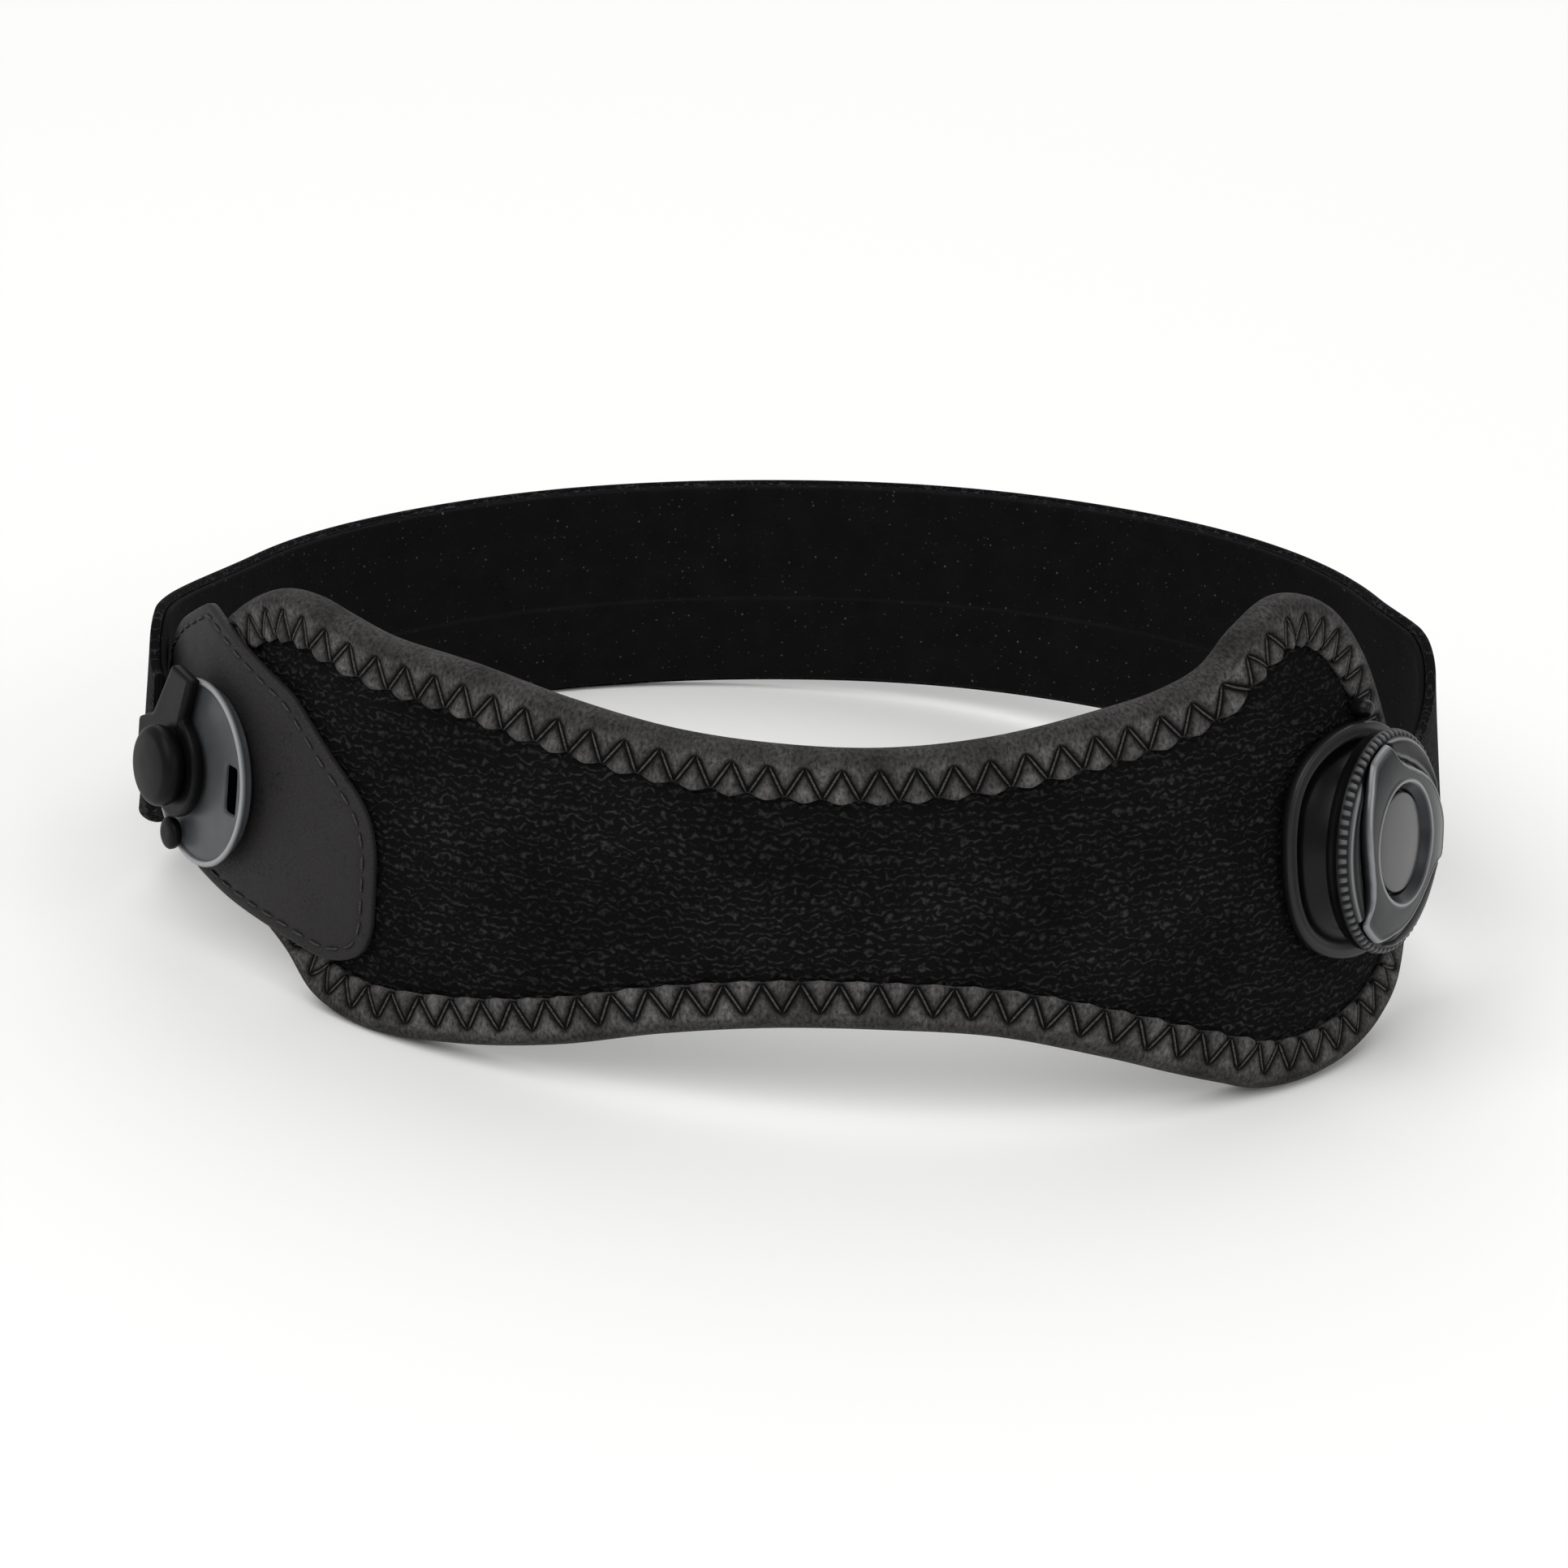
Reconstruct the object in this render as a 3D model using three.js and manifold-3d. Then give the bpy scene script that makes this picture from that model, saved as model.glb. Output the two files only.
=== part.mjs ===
// Patella strap: a knit front pad with a bound edge, closed round the leg by a two-ply strap.
// The strap hooks onto a stud on the left and is tightened by a dial on the right.
//
// The band is laid out in a level frame: "along" is the length round the band from the middle
// of the pad, positive towards the dial, "up" climbs the wall and "out" leaves the middle of
// the pad's thickness. At the end the whole band is tipped onto the three places it rests on.
// Lengths are millimetres, +Z is up and the pad faces -Y.

import * as THREE from "three";
import { mergeVertices } from "three/addons/utils/BufferGeometryUtils.js";
import Module from "manifold-3d";

const wasm = await Module();
wasm.setup();

// Clearances
const clearance = 0.3;
const restFlat = 0.35;

// The band seen from above: four quarter ellipses
const leftHalfWidth = 91.5;
const rightHalfWidth = 87.5;
const frontDepth = 64.4;
const backDepth = 79.7;
const wallLean = 0.1;
const leanFade = 60;

// Front pad and its bound edge
const padHalfLength = 110;
const lobeReach = 35;
const padUp = -1;
const padThickness = 4.4;
const padEdgeThickness = 3;
const padCrownRun = 4;
const tapeWidth = 7;
const tapeThickness = 0.9;
const tapeFold = 1.2;
const tapeRound = 0.8;

// Strap of two plies
const strapWidth = 34.4;
const strapUp = -0.5;
const outerPly = 1.3;
const liningPly = 1;
const liningInset = 0.75;
const dialTaper = 26;
const hookTaper = 15;
const strapFreeOut = 0.4;
const dialEndWidth = 17;
const hookEndWidth = 21;
const hookBlend = 48;
const dialBlend = 42;
const strapBulge = 2.3;
const bulgeRun = 40;

// Patch under the buckle
const patchFront = -52.5;
const patchLength = 60.5;
const patchHeight = 46;
const patchThickness = 1.3;
const patchBevel = 0.4;

// Buckle: slotted disc, stud and hook plate
const buckleAlong = -86;
const buckleUp = 1.5;
const discRadius = 13.7;
const discThickness = 2.2;
const discBevel = 0.5;
const slotLength = 7;
const slotWidth = 3.4;
const slotFromCentre = 9.6;
const hookSetBack = 5;
const hookRadius = 7.7;
const hookThickness = 1.8;
const hookBevel = 0.35;
const hookTail = 10.5;
const hookTailWidth = 9;
const tongueTop = 14.7;
const tongueWidth = 6;
const tongueRoot = 6.2;
const studRadius = 2.6;
const headRadius = 6;
const headHeight = 3.6;
const tabRadius = 2.4;

// Dial
const dialAlong = 90.5;
const dialUp = -2.4;
const dialYaw = THREE.MathUtils.degToRad(9);
const flangeRadius = 16.9;
const flangeThickness = 1.6;
const frontReach = 14.6;
const frontRounding = 6;
const lipHeight = 0.7;
const lipWidth = 2.2;
const earReach = 17.2;
const earSlant = THREE.MathUtils.degToRad(53.5);
const earGap = 0.5;
const bossRadius = 12.6;
const bossHeight = 2;
const spindleRadius = 2.7;
const spindleDepth = 1.5;
const ringRadius = 16;
const ringHeight = 3.2;
const ringTeeth = 36;
const toothDepth = 0.45;
const capRadius = 15;
const capRimHeight = 0.6;
const capCrown = 0.9;
const capBowl = 8.9;
const faceRadius = 7.2;
const faceHeight = 0.7;
const faceCrown = 0.4;
const guideRadius = 1.4;
const guideHeight = 2.8;
const upperGuideAngle = THREE.MathUtils.degToRad(79);
const lowerGuideAngle = THREE.MathUtils.degToRad(-62);

// Outline of the pad from its left tip to its right tip. "along" is a share of the pad's half
// length, "top" and "bottom" are shares of the reach of its lobes. Both tips close the outline.
const padOutline = [
  { along: -0.945, top: 0.09, bottom: 0.09 },
  { along: -0.909, top: 0.37, bottom: -0.17 },
  { along: -0.845, top: 0.61, bottom: -0.3 },
  { along: -0.773, top: 0.79, bottom: -0.37 },
  { along: -0.7, top: 0.9, bottom: -0.46 },
  { along: -0.636, top: 0.915, bottom: -0.57 },
  { along: -0.582, top: 0.885, bottom: -0.72 },
  { along: -0.5, top: 0.83, bottom: -0.795 },
  { along: -0.364, top: 0.78, bottom: -0.777 },
  { along: -0.227, top: 0.69, bottom: -0.714 },
  { along: -0.09, top: 0.61, bottom: -0.62 },
  { along: 0.045, top: 0.57, bottom: -0.57 },
  { along: 0.182, top: 0.56, bottom: -0.571 },
  { along: 0.318, top: 0.594, bottom: -0.614 },
  { along: 0.455, top: 0.666, bottom: -0.737 },
  { along: 0.545, top: 0.72, bottom: -0.843 },
  { along: 0.61, top: 0.79, bottom: -0.92 },
  { along: 0.664, top: 0.92, bottom: -0.98 },
  { along: 0.736, top: 1.015, bottom: -1 },
  { along: 0.818, top: 0.943, bottom: -0.971 },
  { along: 0.891, top: 0.72, bottom: -0.894 },
  { along: 0.955, top: 0.35, bottom: -0.76 },
  { along: 1.02, top: -0.22, bottom: -0.22 },
];

// Outline of the leather-like patch: "back" is a share of its length behind its front edge,
// "top" and "bottom" are shares of its height, above and below the buckle's level.
const patchOutline = [
  { back: 0, top: -0.08, bottom: -0.33 },
  { back: 0.02, top: 0.02, bottom: -0.41 },
  { back: 0.06, top: 0.09, bottom: -0.44 },
  { back: 0.13, top: 0.17, bottom: -0.46 },
  { back: 0.27, top: 0.34, bottom: -0.42 },
  { back: 0.45, top: 0.43, bottom: -0.38 },
  { back: 0.63, top: 0.525, bottom: -0.33 },
  { back: 0.82, top: 0.4, bottom: -0.28 },
  { back: 1, top: 0.24, bottom: -0.23 },
];

// Edge of one arm of the dial's cap, repeated three times round it. "turn" is degrees from the
// arm's trailing corner and "reach" is a share of the cap's radius.
const armEdge = [
  { turn: 0, reach: 1 },
  { turn: 15, reach: 0.887 },
  { turn: 30, reach: 0.82 },
  { turn: 48, reach: 0.75 },
  { turn: 64, reach: 0.72 },
  { turn: 80, reach: 0.735 },
  { turn: 90, reach: 0.79 },
  { turn: 96, reach: 0.87 },
  { turn: 99, reach: 1 },
];
const armCount = 3;
const firstArm = -2;

// Levels above the middle of the pad's thickness, each seated on the one below
const padFace = padThickness / 2;
const tapeFace = padEdgeThickness / 2 + clearance + tapeThickness;
const seatLevel = Math.max(padFace, tapeFace) + clearance;
const patchFace = seatLevel + patchThickness;
const discSeat = patchFace + clearance;
const discFace = discSeat + discThickness;
const hookSeat = discFace + clearance;
const hookFace = hookSeat + hookThickness;
const flangeFace = seatLevel + flangeThickness;
const bossFace = flangeFace + bossHeight;
const ringSeat = bossFace + clearance;
const ringFace = ringSeat + ringHeight;
const capSeat = ringFace + clearance;
const strapThickness = outerPly + clearance + liningPly;

// Materials
function finish(color, roughness, metalness) {
  return new THREE.MeshStandardMaterial({ color, roughness, metalness });
}
const knit = finish(0x161617, 0.95, 0);
const tape = finish(0x302e2d, 0.85, 0);
const leather = finish(0x2d2b2c, 0.6, 0);
const greyPlastic = finish(0x55585a, 0.45, 0);
const blackPlastic = finish(0x121213, 0.4, 0);
const satinBlack = finish(0x2a2b2c, 0.3, 0.4);

// Smooth step from 0 to 1
function smooth(share) {
  const t = THREE.MathUtils.clamp(share, 0, 1);
  return t * t * (3 - 2 * t);
}

// The band's plan as one polyline with the length along it, starting at the middle of the pad
function bandPlan() {
  const steps = 720;
  const rows = [];
  let length = 0;
  for (let i = 0; i <= steps; i += 1) {
    const turn = (i / steps) * 2 * Math.PI - Math.PI / 2;
    const halfWidth = Math.cos(turn) < 0 ? leftHalfWidth : rightHalfWidth;
    const depth = Math.sin(turn) < 0 ? frontDepth : backDepth;
    const point = new THREE.Vector2(halfWidth * Math.cos(turn), depth * Math.sin(turn));
    const normal = new THREE.Vector2(Math.cos(turn) / halfWidth, Math.sin(turn) / depth).normalize();
    if (i > 0) {
      length += point.distanceTo(rows[i - 1].point);
    }
    rows.push({ length, point, normal });
  }
  return rows;
}
const plan = bandPlan();
const bandLength = plan[plan.length - 1].length;

// Point and outward normal of the plan at a length along it
function planAt(along) {
  const wanted = THREE.MathUtils.euclideanModulo(along, bandLength);
  let low = 0;
  let high = plan.length - 1;
  while (high - low > 1) {
    const middle = (low + high) >> 1;
    if (plan[middle].length > wanted) {
      high = middle;
    } else {
      low = middle;
    }
  }
  const share = (wanted - plan[low].length) / (plan[high].length - plan[low].length);
  const point = plan[low].point.clone().lerp(plan[high].point, share);
  const normal = plan[low].normal.clone().lerp(plan[high].normal, share).normalize();
  return { point, normal };
}

// How far the wall leans in at a length along the band: full over the pad, none at the back
function leanAt(along) {
  const fromFront = Math.min(
    THREE.MathUtils.euclideanModulo(along, bandLength),
    THREE.MathUtils.euclideanModulo(-along, bandLength),
  );
  return wallLean * (1 - smooth((fromFront - padHalfLength) / leanFade));
}

// The three directions of the wall at a length along the band
function wallAxes(along) {
  const { point, normal } = planAt(along);
  const lean = leanAt(along);
  const out = new THREE.Vector3(normal.x * Math.cos(lean), normal.y * Math.cos(lean), Math.sin(lean));
  const up = new THREE.Vector3(-normal.x * Math.sin(lean), -normal.y * Math.sin(lean), Math.cos(lean));
  return { foot: new THREE.Vector3(point.x, point.y, 0), out, up };
}

// A place on the band's wall
function wall(along, up, out) {
  const axes = wallAxes(along);
  return axes.foot.addScaledVector(axes.up, up).addScaledVector(axes.out, out);
}

// A group whose x runs along the band, y climbs the wall and z points out of it
function wallGroup(along, up) {
  const axes = wallAxes(along);
  const right = new THREE.Vector3().crossVectors(axes.up, axes.out);
  const group = new THREE.Group();
  group.quaternion.setFromRotationMatrix(new THREE.Matrix4().makeBasis(right, axes.up, axes.out));
  group.position.copy(wall(along, up, 0));
  return group;
}

// Volume enclosed by a list of triangles, negative when they face inwards
function signedVolume(points, triangles) {
  let volume = 0;
  for (const [a, b, c] of triangles) {
    volume += points[a].dot(new THREE.Vector3().crossVectors(points[b], points[c])) / 6;
  }
  return volume;
}

// A geometry from points and triangles, with its faces turned outwards
function closedGeometry(points, triangles) {
  const inward = signedVolume(points, triangles) < 0;
  const index = triangles.flatMap(([a, b, c]) => (inward ? [a, c, b] : [a, b, c]));
  const geometry = new THREE.BufferGeometry();
  geometry.setAttribute("position", new THREE.Float32BufferAttribute(points.flatMap((p) => [p.x, p.y, p.z]), 3));
  geometry.setIndex(index);
  geometry.computeVertexNormals();
  return geometry;
}

// A solid through closed sections of equal point count: an endless loop, or capped at both ends
function loft(sections, endless) {
  const count = sections[0].length;
  const points = sections.flat();
  const triangles = [];
  const spans = endless ? sections.length : sections.length - 1;
  for (let i = 0; i < spans; i += 1) {
    const here = i * count;
    const there = ((i + 1) % sections.length) * count;
    for (let j = 0; j < count; j += 1) {
      const next = (j + 1) % count;
      triangles.push([here + j, there + j, there + next]);
      triangles.push([here + j, there + next, here + next]);
    }
  }
  if (!endless) {
    const last = (sections.length - 1) * count;
    for (let j = 1; j < count - 1; j += 1) {
      triangles.push([0, j, j + 1]);
      triangles.push([last, last + j + 1, last + j]);
    }
  }
  return closedGeometry(points, triangles);
}

// A solid through rings round an axis, from the middle of one face out and back to the other
function ringLoft(first, rings, last) {
  const count = rings[0].length;
  const points = [first, ...rings.flat(), last];
  const end = points.length - 1;
  const triangles = [];
  for (let j = 0; j < count; j += 1) {
    const next = (j + 1) % count;
    triangles.push([0, 1 + next, 1 + j]);
    for (let i = 0; i < rings.length - 1; i += 1) {
      const here = 1 + i * count;
      const there = here + count;
      triangles.push([here + j, here + next, there + next]);
      triangles.push([here + j, there + next, there + j]);
    }
    const top = 1 + (rings.length - 1) * count;
    triangles.push([end, top + j, top + next]);
  }
  return closedGeometry(points, triangles);
}

// A manifold solid from a closed geometry, and back
function toManifold(geometry) {
  const bare = geometry.clone();
  bare.deleteAttribute("normal");
  bare.deleteAttribute("uv");
  const merged = mergeVertices(bare);
  const mesh = new wasm.Mesh({
    numProp: 3,
    vertProperties: new Float32Array(merged.attributes.position.array),
    triVerts: new Uint32Array(merged.index.array),
  });
  return new wasm.Manifold(mesh);
}

function fromManifold(solid) {
  const mesh = solid.getMesh();
  const geometry = new THREE.BufferGeometry();
  geometry.setAttribute("position", new THREE.Float32BufferAttribute(mesh.vertProperties, 3));
  geometry.setIndex(Array.from(mesh.triVerts));
  geometry.computeVertexNormals();
  return geometry;
}

function cutAway(geometry, tool) {
  return fromManifold(toManifold(geometry).subtract(toManifold(tool)));
}

// A turned piece whose axis is z, from radius and height pairs listed from the axis outwards
function turned(profile, sides) {
  const geometry = new THREE.LatheGeometry(profile.map(([radius, height]) => new THREE.Vector2(radius, height)), sides);
  return geometry.rotateX(Math.PI / 2);
}

// Closed curve of the pad's outer edge in the flat: x is along, y is up
function padEdgeCurve() {
  const place = (along, reach) => new THREE.Vector3(along * padHalfLength, padUp + reach * lobeReach, 0);
  const tops = padOutline.map((row) => place(row.along, row.top));
  const bottoms = padOutline
    .slice(1, -1)
    .reverse()
    .map((row) => place(row.along, row.bottom));
  return new THREE.CatmullRomCurve3([...tops, ...bottoms], true, "centripetal");
}
const padEdge = padEdgeCurve();

// A point of the pad's edge moved inwards, for a share of the way round
function edgeInset(share, inset) {
  const point = padEdge.getPoint(share);
  const tangent = padEdge.getTangent(share);
  return new THREE.Vector2(point.x + tangent.y * inset, point.y - tangent.x * inset);
}

// Shortest distance from a flat place to the pad's edge
const edgeSamples = padEdge.getPoints(240).map((p) => new THREE.Vector2(p.x, p.y));
function fromEdge(place) {
  return Math.min(...edgeSamples.map((sample) => sample.distanceTo(place)));
}

// The pad: sections from its lower to its upper edge, thick in the middle and thin in the tape
function frontPad() {
  const stepsPerRow = 3;
  const stations = (padOutline.length - 1) * stepsPerRow;
  const inset = tapeFold + clearance;
  const sections = [];
  for (let i = 1; i < stations; i += 1) {
    const share = (0.5 * i) / stations;
    const top = edgeInset(share, inset);
    const bottom = edgeInset(1 - share, inset);
    const height = top.distanceTo(bottom);
    const hem = Math.min(0.3, (tapeWidth - tapeFold) / height);
    const crest = Math.min(0.42, hem + padCrownRun / height);
    const shares = [0, hem, crest, 0.5, 1 - crest, 1 - hem, 1];
    const places = shares.map((s) => bottom.clone().lerp(top, s));
    const halves = places.map((place) => {
      const crown = smooth((fromEdge(place) - tapeWidth - clearance) / padCrownRun);
      return THREE.MathUtils.lerp(padEdgeThickness, padThickness, crown) / 2;
    });
    const outer = places.map((place, j) => wall(place.x, place.y, halves[j]));
    const inner = places.map((place, j) => wall(place.x, place.y, -halves[j])).reverse();
    sections.push([...outer, ...inner]);
  }
  return loft(sections, false);
}

// The tape folded over the pad's edge: a U section carried round the outline
function padBinding() {
  const stations = 96;
  const inside = padEdgeThickness / 2 + clearance;
  const profile = [
    [tapeFace, tapeWidth],
    [tapeFace, tapeRound * 2],
    [tapeFace - tapeRound, tapeRound / 3],
    [0, 0],
    [-tapeFace + tapeRound, tapeRound / 3],
    [-tapeFace, tapeRound * 2],
    [-tapeFace, tapeWidth],
    [-inside, tapeWidth],
    [-inside, tapeFold],
    [inside, tapeFold],
    [inside, tapeWidth],
  ];
  const sections = [];
  for (let i = 0; i < stations; i += 1) {
    const share = padEdge.getUtoTmapping(i / stations);
    sections.push(
      profile.map(([out, inset]) => {
        const place = edgeInset(share, inset);
        return wall(place.x, place.y, out);
      }),
    );
  }
  return loft(sections, true);
}

// Ends of the strap along the band, and the level of its inner face at each. The hook plate is
// flat, so the wall has dropped away under it by "hookDrop" where the strap begins.
const strapDialEnd = dialAlong + earReach + earGap;
const strapHookEnd = bandLength + buckleAlong - discRadius;
const bandRadiusAtHook = frontDepth;
const hookDrop = discRadius ** 2 / (2 * bandRadiusAtHook);
const dialEndOut = seatLevel;
const hookEndOut = hookSeat - clearance - strapThickness + hookDrop;

// One ply of the strap between two levels above the strap's inner face
function strapPly(low, high, edgeInsetWidth) {
  const stations = 68;
  const sections = [];
  for (let i = 0; i <= stations; i += 1) {
    const along = THREE.MathUtils.lerp(strapDialEnd, strapHookEnd, i / stations);
    const fromDial = along - strapDialEnd;
    const fromHook = strapHookEnd - along;
    const dialWidth = THREE.MathUtils.lerp(dialEndWidth, strapWidth, smooth(fromDial / dialTaper));
    const hookWidth = THREE.MathUtils.lerp(hookEndWidth, strapWidth, smooth(fromHook / hookTaper));
    const half = Math.min(dialWidth, hookWidth) / 2 - edgeInsetWidth;
    const dialShare = 1 - smooth(fromDial / dialBlend);
    const hookShare = 1 - smooth(fromHook / hookBlend);
    const bulge = strapBulge * Math.sin(Math.PI * Math.min(1, fromDial / bulgeRun)) ** 2;
    const out =
      strapFreeOut + bulge + dialShare * (dialEndOut - strapFreeOut) + hookShare * (hookEndOut - strapFreeOut);
    const middle = strapUp + dialShare * (dialUp - strapUp) + hookShare * (buckleUp - strapUp);
    const round = (high - low) / 3;
    sections.push([
      wall(along, middle - half + round, out + low),
      wall(along, middle + half - round, out + low),
      wall(along, middle + half, out + (low + high) / 2),
      wall(along, middle + half - round, out + high),
      wall(along, middle - half + round, out + high),
      wall(along, middle - half, out + (low + high) / 2),
    ]);
  }
  return loft(sections, false);
}

// The patch: a plate bent round the band, with its outer edges bevelled
function bucklePatch() {
  const stepsPerRow = 2;
  const sections = [];
  for (let i = 0; i <= (patchOutline.length - 1) * stepsPerRow; i += 1) {
    const row = Math.min(Math.floor(i / stepsPerRow), patchOutline.length - 2);
    const share = i / stepsPerRow - row;
    const here = patchOutline[row];
    const next = patchOutline[row + 1];
    const along = patchFront - patchLength * THREE.MathUtils.lerp(here.back, next.back, share);
    const top = buckleUp + patchHeight * THREE.MathUtils.lerp(here.top, next.top, share);
    const bottom = buckleUp + patchHeight * THREE.MathUtils.lerp(here.bottom, next.bottom, share);
    sections.push([
      wall(along, bottom, seatLevel),
      wall(along, bottom, patchFace - patchBevel),
      wall(along, bottom + patchBevel, patchFace),
      wall(along, top - patchBevel, patchFace),
      wall(along, top, patchFace - patchBevel),
      wall(along, top, seatLevel),
    ]);
  }
  return loft(sections, false);
}

// The slotted disc that carries the stud
function buckleDisc() {
  const plate = turned(
    [
      [0, discSeat],
      [discRadius - discBevel, discSeat],
      [discRadius, discSeat + discBevel],
      [discRadius, discFace - discBevel],
      [discRadius - discBevel, discFace],
      [discRadius - 2 * discBevel, discFace],
      [discRadius - 3 * discBevel, discFace - clearance],
      [0, discFace - clearance],
    ],
    48,
  );
  const slot = new THREE.BoxGeometry(slotWidth, slotLength, discThickness * 3);
  slot.translate(slotFromCentre, 0, discFace);
  return cutAway(plate, slot);
}

// The plate at the strap's end: round about the stud, with a tail on the strap and a tongue that
// stands up past the disc's rim
function hookPlate() {
  const shape = new THREE.Shape();
  const halfTail = hookTailWidth / 2;
  const tongueTurn = THREE.MathUtils.degToRad(70);
  shape.moveTo(-hookTail, -halfTail);
  shape.lineTo(0, -hookRadius);
  shape.absarc(0, 0, hookRadius, -Math.PI / 2, tongueTurn, false);
  shape.lineTo(tongueWidth - 1, tongueTop - 1);
  shape.lineTo(-1, tongueTop);
  shape.lineTo(-tongueRoot, tongueRoot);
  shape.lineTo(-hookTail, halfTail);
  shape.closePath();
  const hole = new THREE.Path();
  hole.absarc(0, 0, studRadius + clearance + hookBevel, 0, 2 * Math.PI, true);
  shape.holes.push(hole);
  const geometry = new THREE.ExtrudeGeometry(shape, {
    depth: hookThickness - 2 * hookBevel,
    bevelThickness: hookBevel,
    bevelSize: hookBevel,
    bevelOffset: -hookBevel,
    bevelSegments: 1,
    curveSegments: 16,
  });
  return geometry.translate(0, 0, hookSeat + hookBevel);
}

// The stud: a stem on the disc and a domed head over the hook plate
function buckleStud() {
  const headSeat = hookFace + clearance;
  const foot = discFace;
  return turned(
    [
      [0, foot],
      [studRadius, foot],
      [studRadius, headSeat],
      [headRadius - 0.12 * headRadius, headSeat],
      [headRadius, headSeat + 0.2 * headHeight],
      [headRadius * 0.93, headSeat + 0.62 * headHeight],
      [headRadius * 0.62, headSeat + 0.92 * headHeight],
      [0, headSeat + headHeight],
    ],
    32,
  );
}

// The small round tab beside the hook plate
function latchTab() {
  return turned(
    [
      [0, hookSeat],
      [tabRadius * 0.8, hookSeat],
      [tabRadius, hookSeat + 0.25 * hookThickness],
      [tabRadius, hookSeat + 0.75 * hookThickness],
      [tabRadius * 0.7, hookFace],
      [0, hookFace],
    ],
    16,
  );
}

// Where the knob's axis stands on the band: square to the wall, then turned towards the strap
function dialAxis() {
  return wallGroup(dialAlong, dialUp).rotateY(dialYaw);
}

// Reach of the dial's flange towards an angle: round, with a straight ear facing the strap, and
// flattened in a smooth curve facing the pad
function flangeEdge(angle) {
  const fromEar = Math.abs(Math.atan2(Math.sin(angle), Math.cos(angle)));
  if (fromEar >= earSlant) {
    const flat = Math.max(0, -Math.cos(fromEar)) / frontReach;
    return (flat ** frontRounding + flangeRadius ** -frontRounding) ** (-1 / frontRounding);
  }
  return Math.min(earReach / Math.cos(fromEar), flangeRadius / Math.cos(earSlant - fromEar));
}

// The dial's base: a flange bent round the band with a raised lip, and a flat round boss
function dialBase() {
  const sides = 64;
  const bent = (radius, out) => {
    const ring = [];
    for (let j = 0; j < sides; j += 1) {
      const angle = (j / sides) * 2 * Math.PI;
      const reach = radius * flangeEdge(angle);
      ring.push(wall(dialAlong + reach * Math.cos(angle), dialUp + reach * Math.sin(angle), out));
    }
    return ring;
  };
  const axis = dialAxis();
  axis.updateMatrix();
  const flat = (radius, height) => {
    const ring = [];
    for (let j = 0; j < sides; j += 1) {
      const angle = (j / sides) * 2 * Math.PI;
      ring.push(new THREE.Vector3(radius * Math.cos(angle), radius * Math.sin(angle), height).applyMatrix4(axis.matrix));
    }
    return ring;
  };
  const lipInner = 1 - lipWidth / flangeRadius;
  const bossFoot = bossRadius / flangeRadius;
  const bore = spindleRadius + clearance;
  const rings = [
    bent(0.5, seatLevel),
    bent(0.97, seatLevel),
    bent(1, seatLevel + flangeThickness * 0.3),
    bent(1, flangeFace),
    bent(0.97, flangeFace + lipHeight),
    bent(lipInner + 0.03, flangeFace + lipHeight),
    bent(lipInner, flangeFace),
    bent(bossFoot, flangeFace),
    flat(bossRadius, bossFace),
    flat(bore, bossFace),
    flat(bore, bossFace - spindleDepth),
  ];
  const under = wall(dialAlong, dialUp, seatLevel);
  const boreFloor = new THREE.Vector3(0, 0, bossFace - spindleDepth).applyMatrix4(axis.matrix);
  return ringLoft(under, rings, boreFloor);
}

// The spindle in the base's bore, on which the knob turns and lifts
function dialSpindle() {
  const foot = bossFace - spindleDepth + clearance;
  return turned(
    [
      [0, foot],
      [spindleRadius, foot],
      [spindleRadius, ringFace - clearance],
      [0, ringFace - clearance],
    ],
    24,
  );
}

// The knob's grip ring: a toothed skirt under a shallow dished top
function dialGripRing() {
  const sides = ringTeeth * 2;
  const bore = spindleRadius + clearance;
  const plain = (radius, height) => {
    const ring = [];
    for (let j = 0; j < sides; j += 1) {
      const angle = (j / sides) * 2 * Math.PI;
      ring.push(new THREE.Vector3(radius * Math.cos(angle), radius * Math.sin(angle), height));
    }
    return ring;
  };
  const toothed = (radius, height) => {
    const ring = [];
    for (let j = 0; j < sides; j += 1) {
      const angle = (j / sides) * 2 * Math.PI;
      const reach = radius - (j % 2) * toothDepth;
      ring.push(new THREE.Vector3(reach * Math.cos(angle), reach * Math.sin(angle), height));
    }
    return ring;
  };
  const sections = [
    plain(bore, ringSeat),
    plain(ringRadius - 2 * toothDepth, ringSeat),
    toothed(ringRadius, ringSeat + 0.12 * ringHeight),
    toothed(ringRadius, ringSeat + 0.5 * ringHeight),
    toothed(ringRadius - 0.9, ringSeat + 0.88 * ringHeight),
    plain(ringRadius - 2, ringFace),
    plain(bore, ringFace),
  ];
  const columns = sections[0].map((_, j) => sections.map((ring) => ring[j]));
  return loft(columns, true);
}

// Share of the cap's radius that its edge reaches towards an angle in degrees
function armReach(degrees) {
  const sector = 360 / armCount;
  const turn = THREE.MathUtils.euclideanModulo(degrees - firstArm, sector);
  const after = armEdge.findIndex((row) => row.turn > turn);
  if (after < 0) {
    return 1;
  }
  const here = armEdge[after - 1];
  const next = armEdge[after];
  return THREE.MathUtils.lerp(here.reach, next.reach, (turn - here.turn) / (next.turn - here.turn));
}

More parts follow.
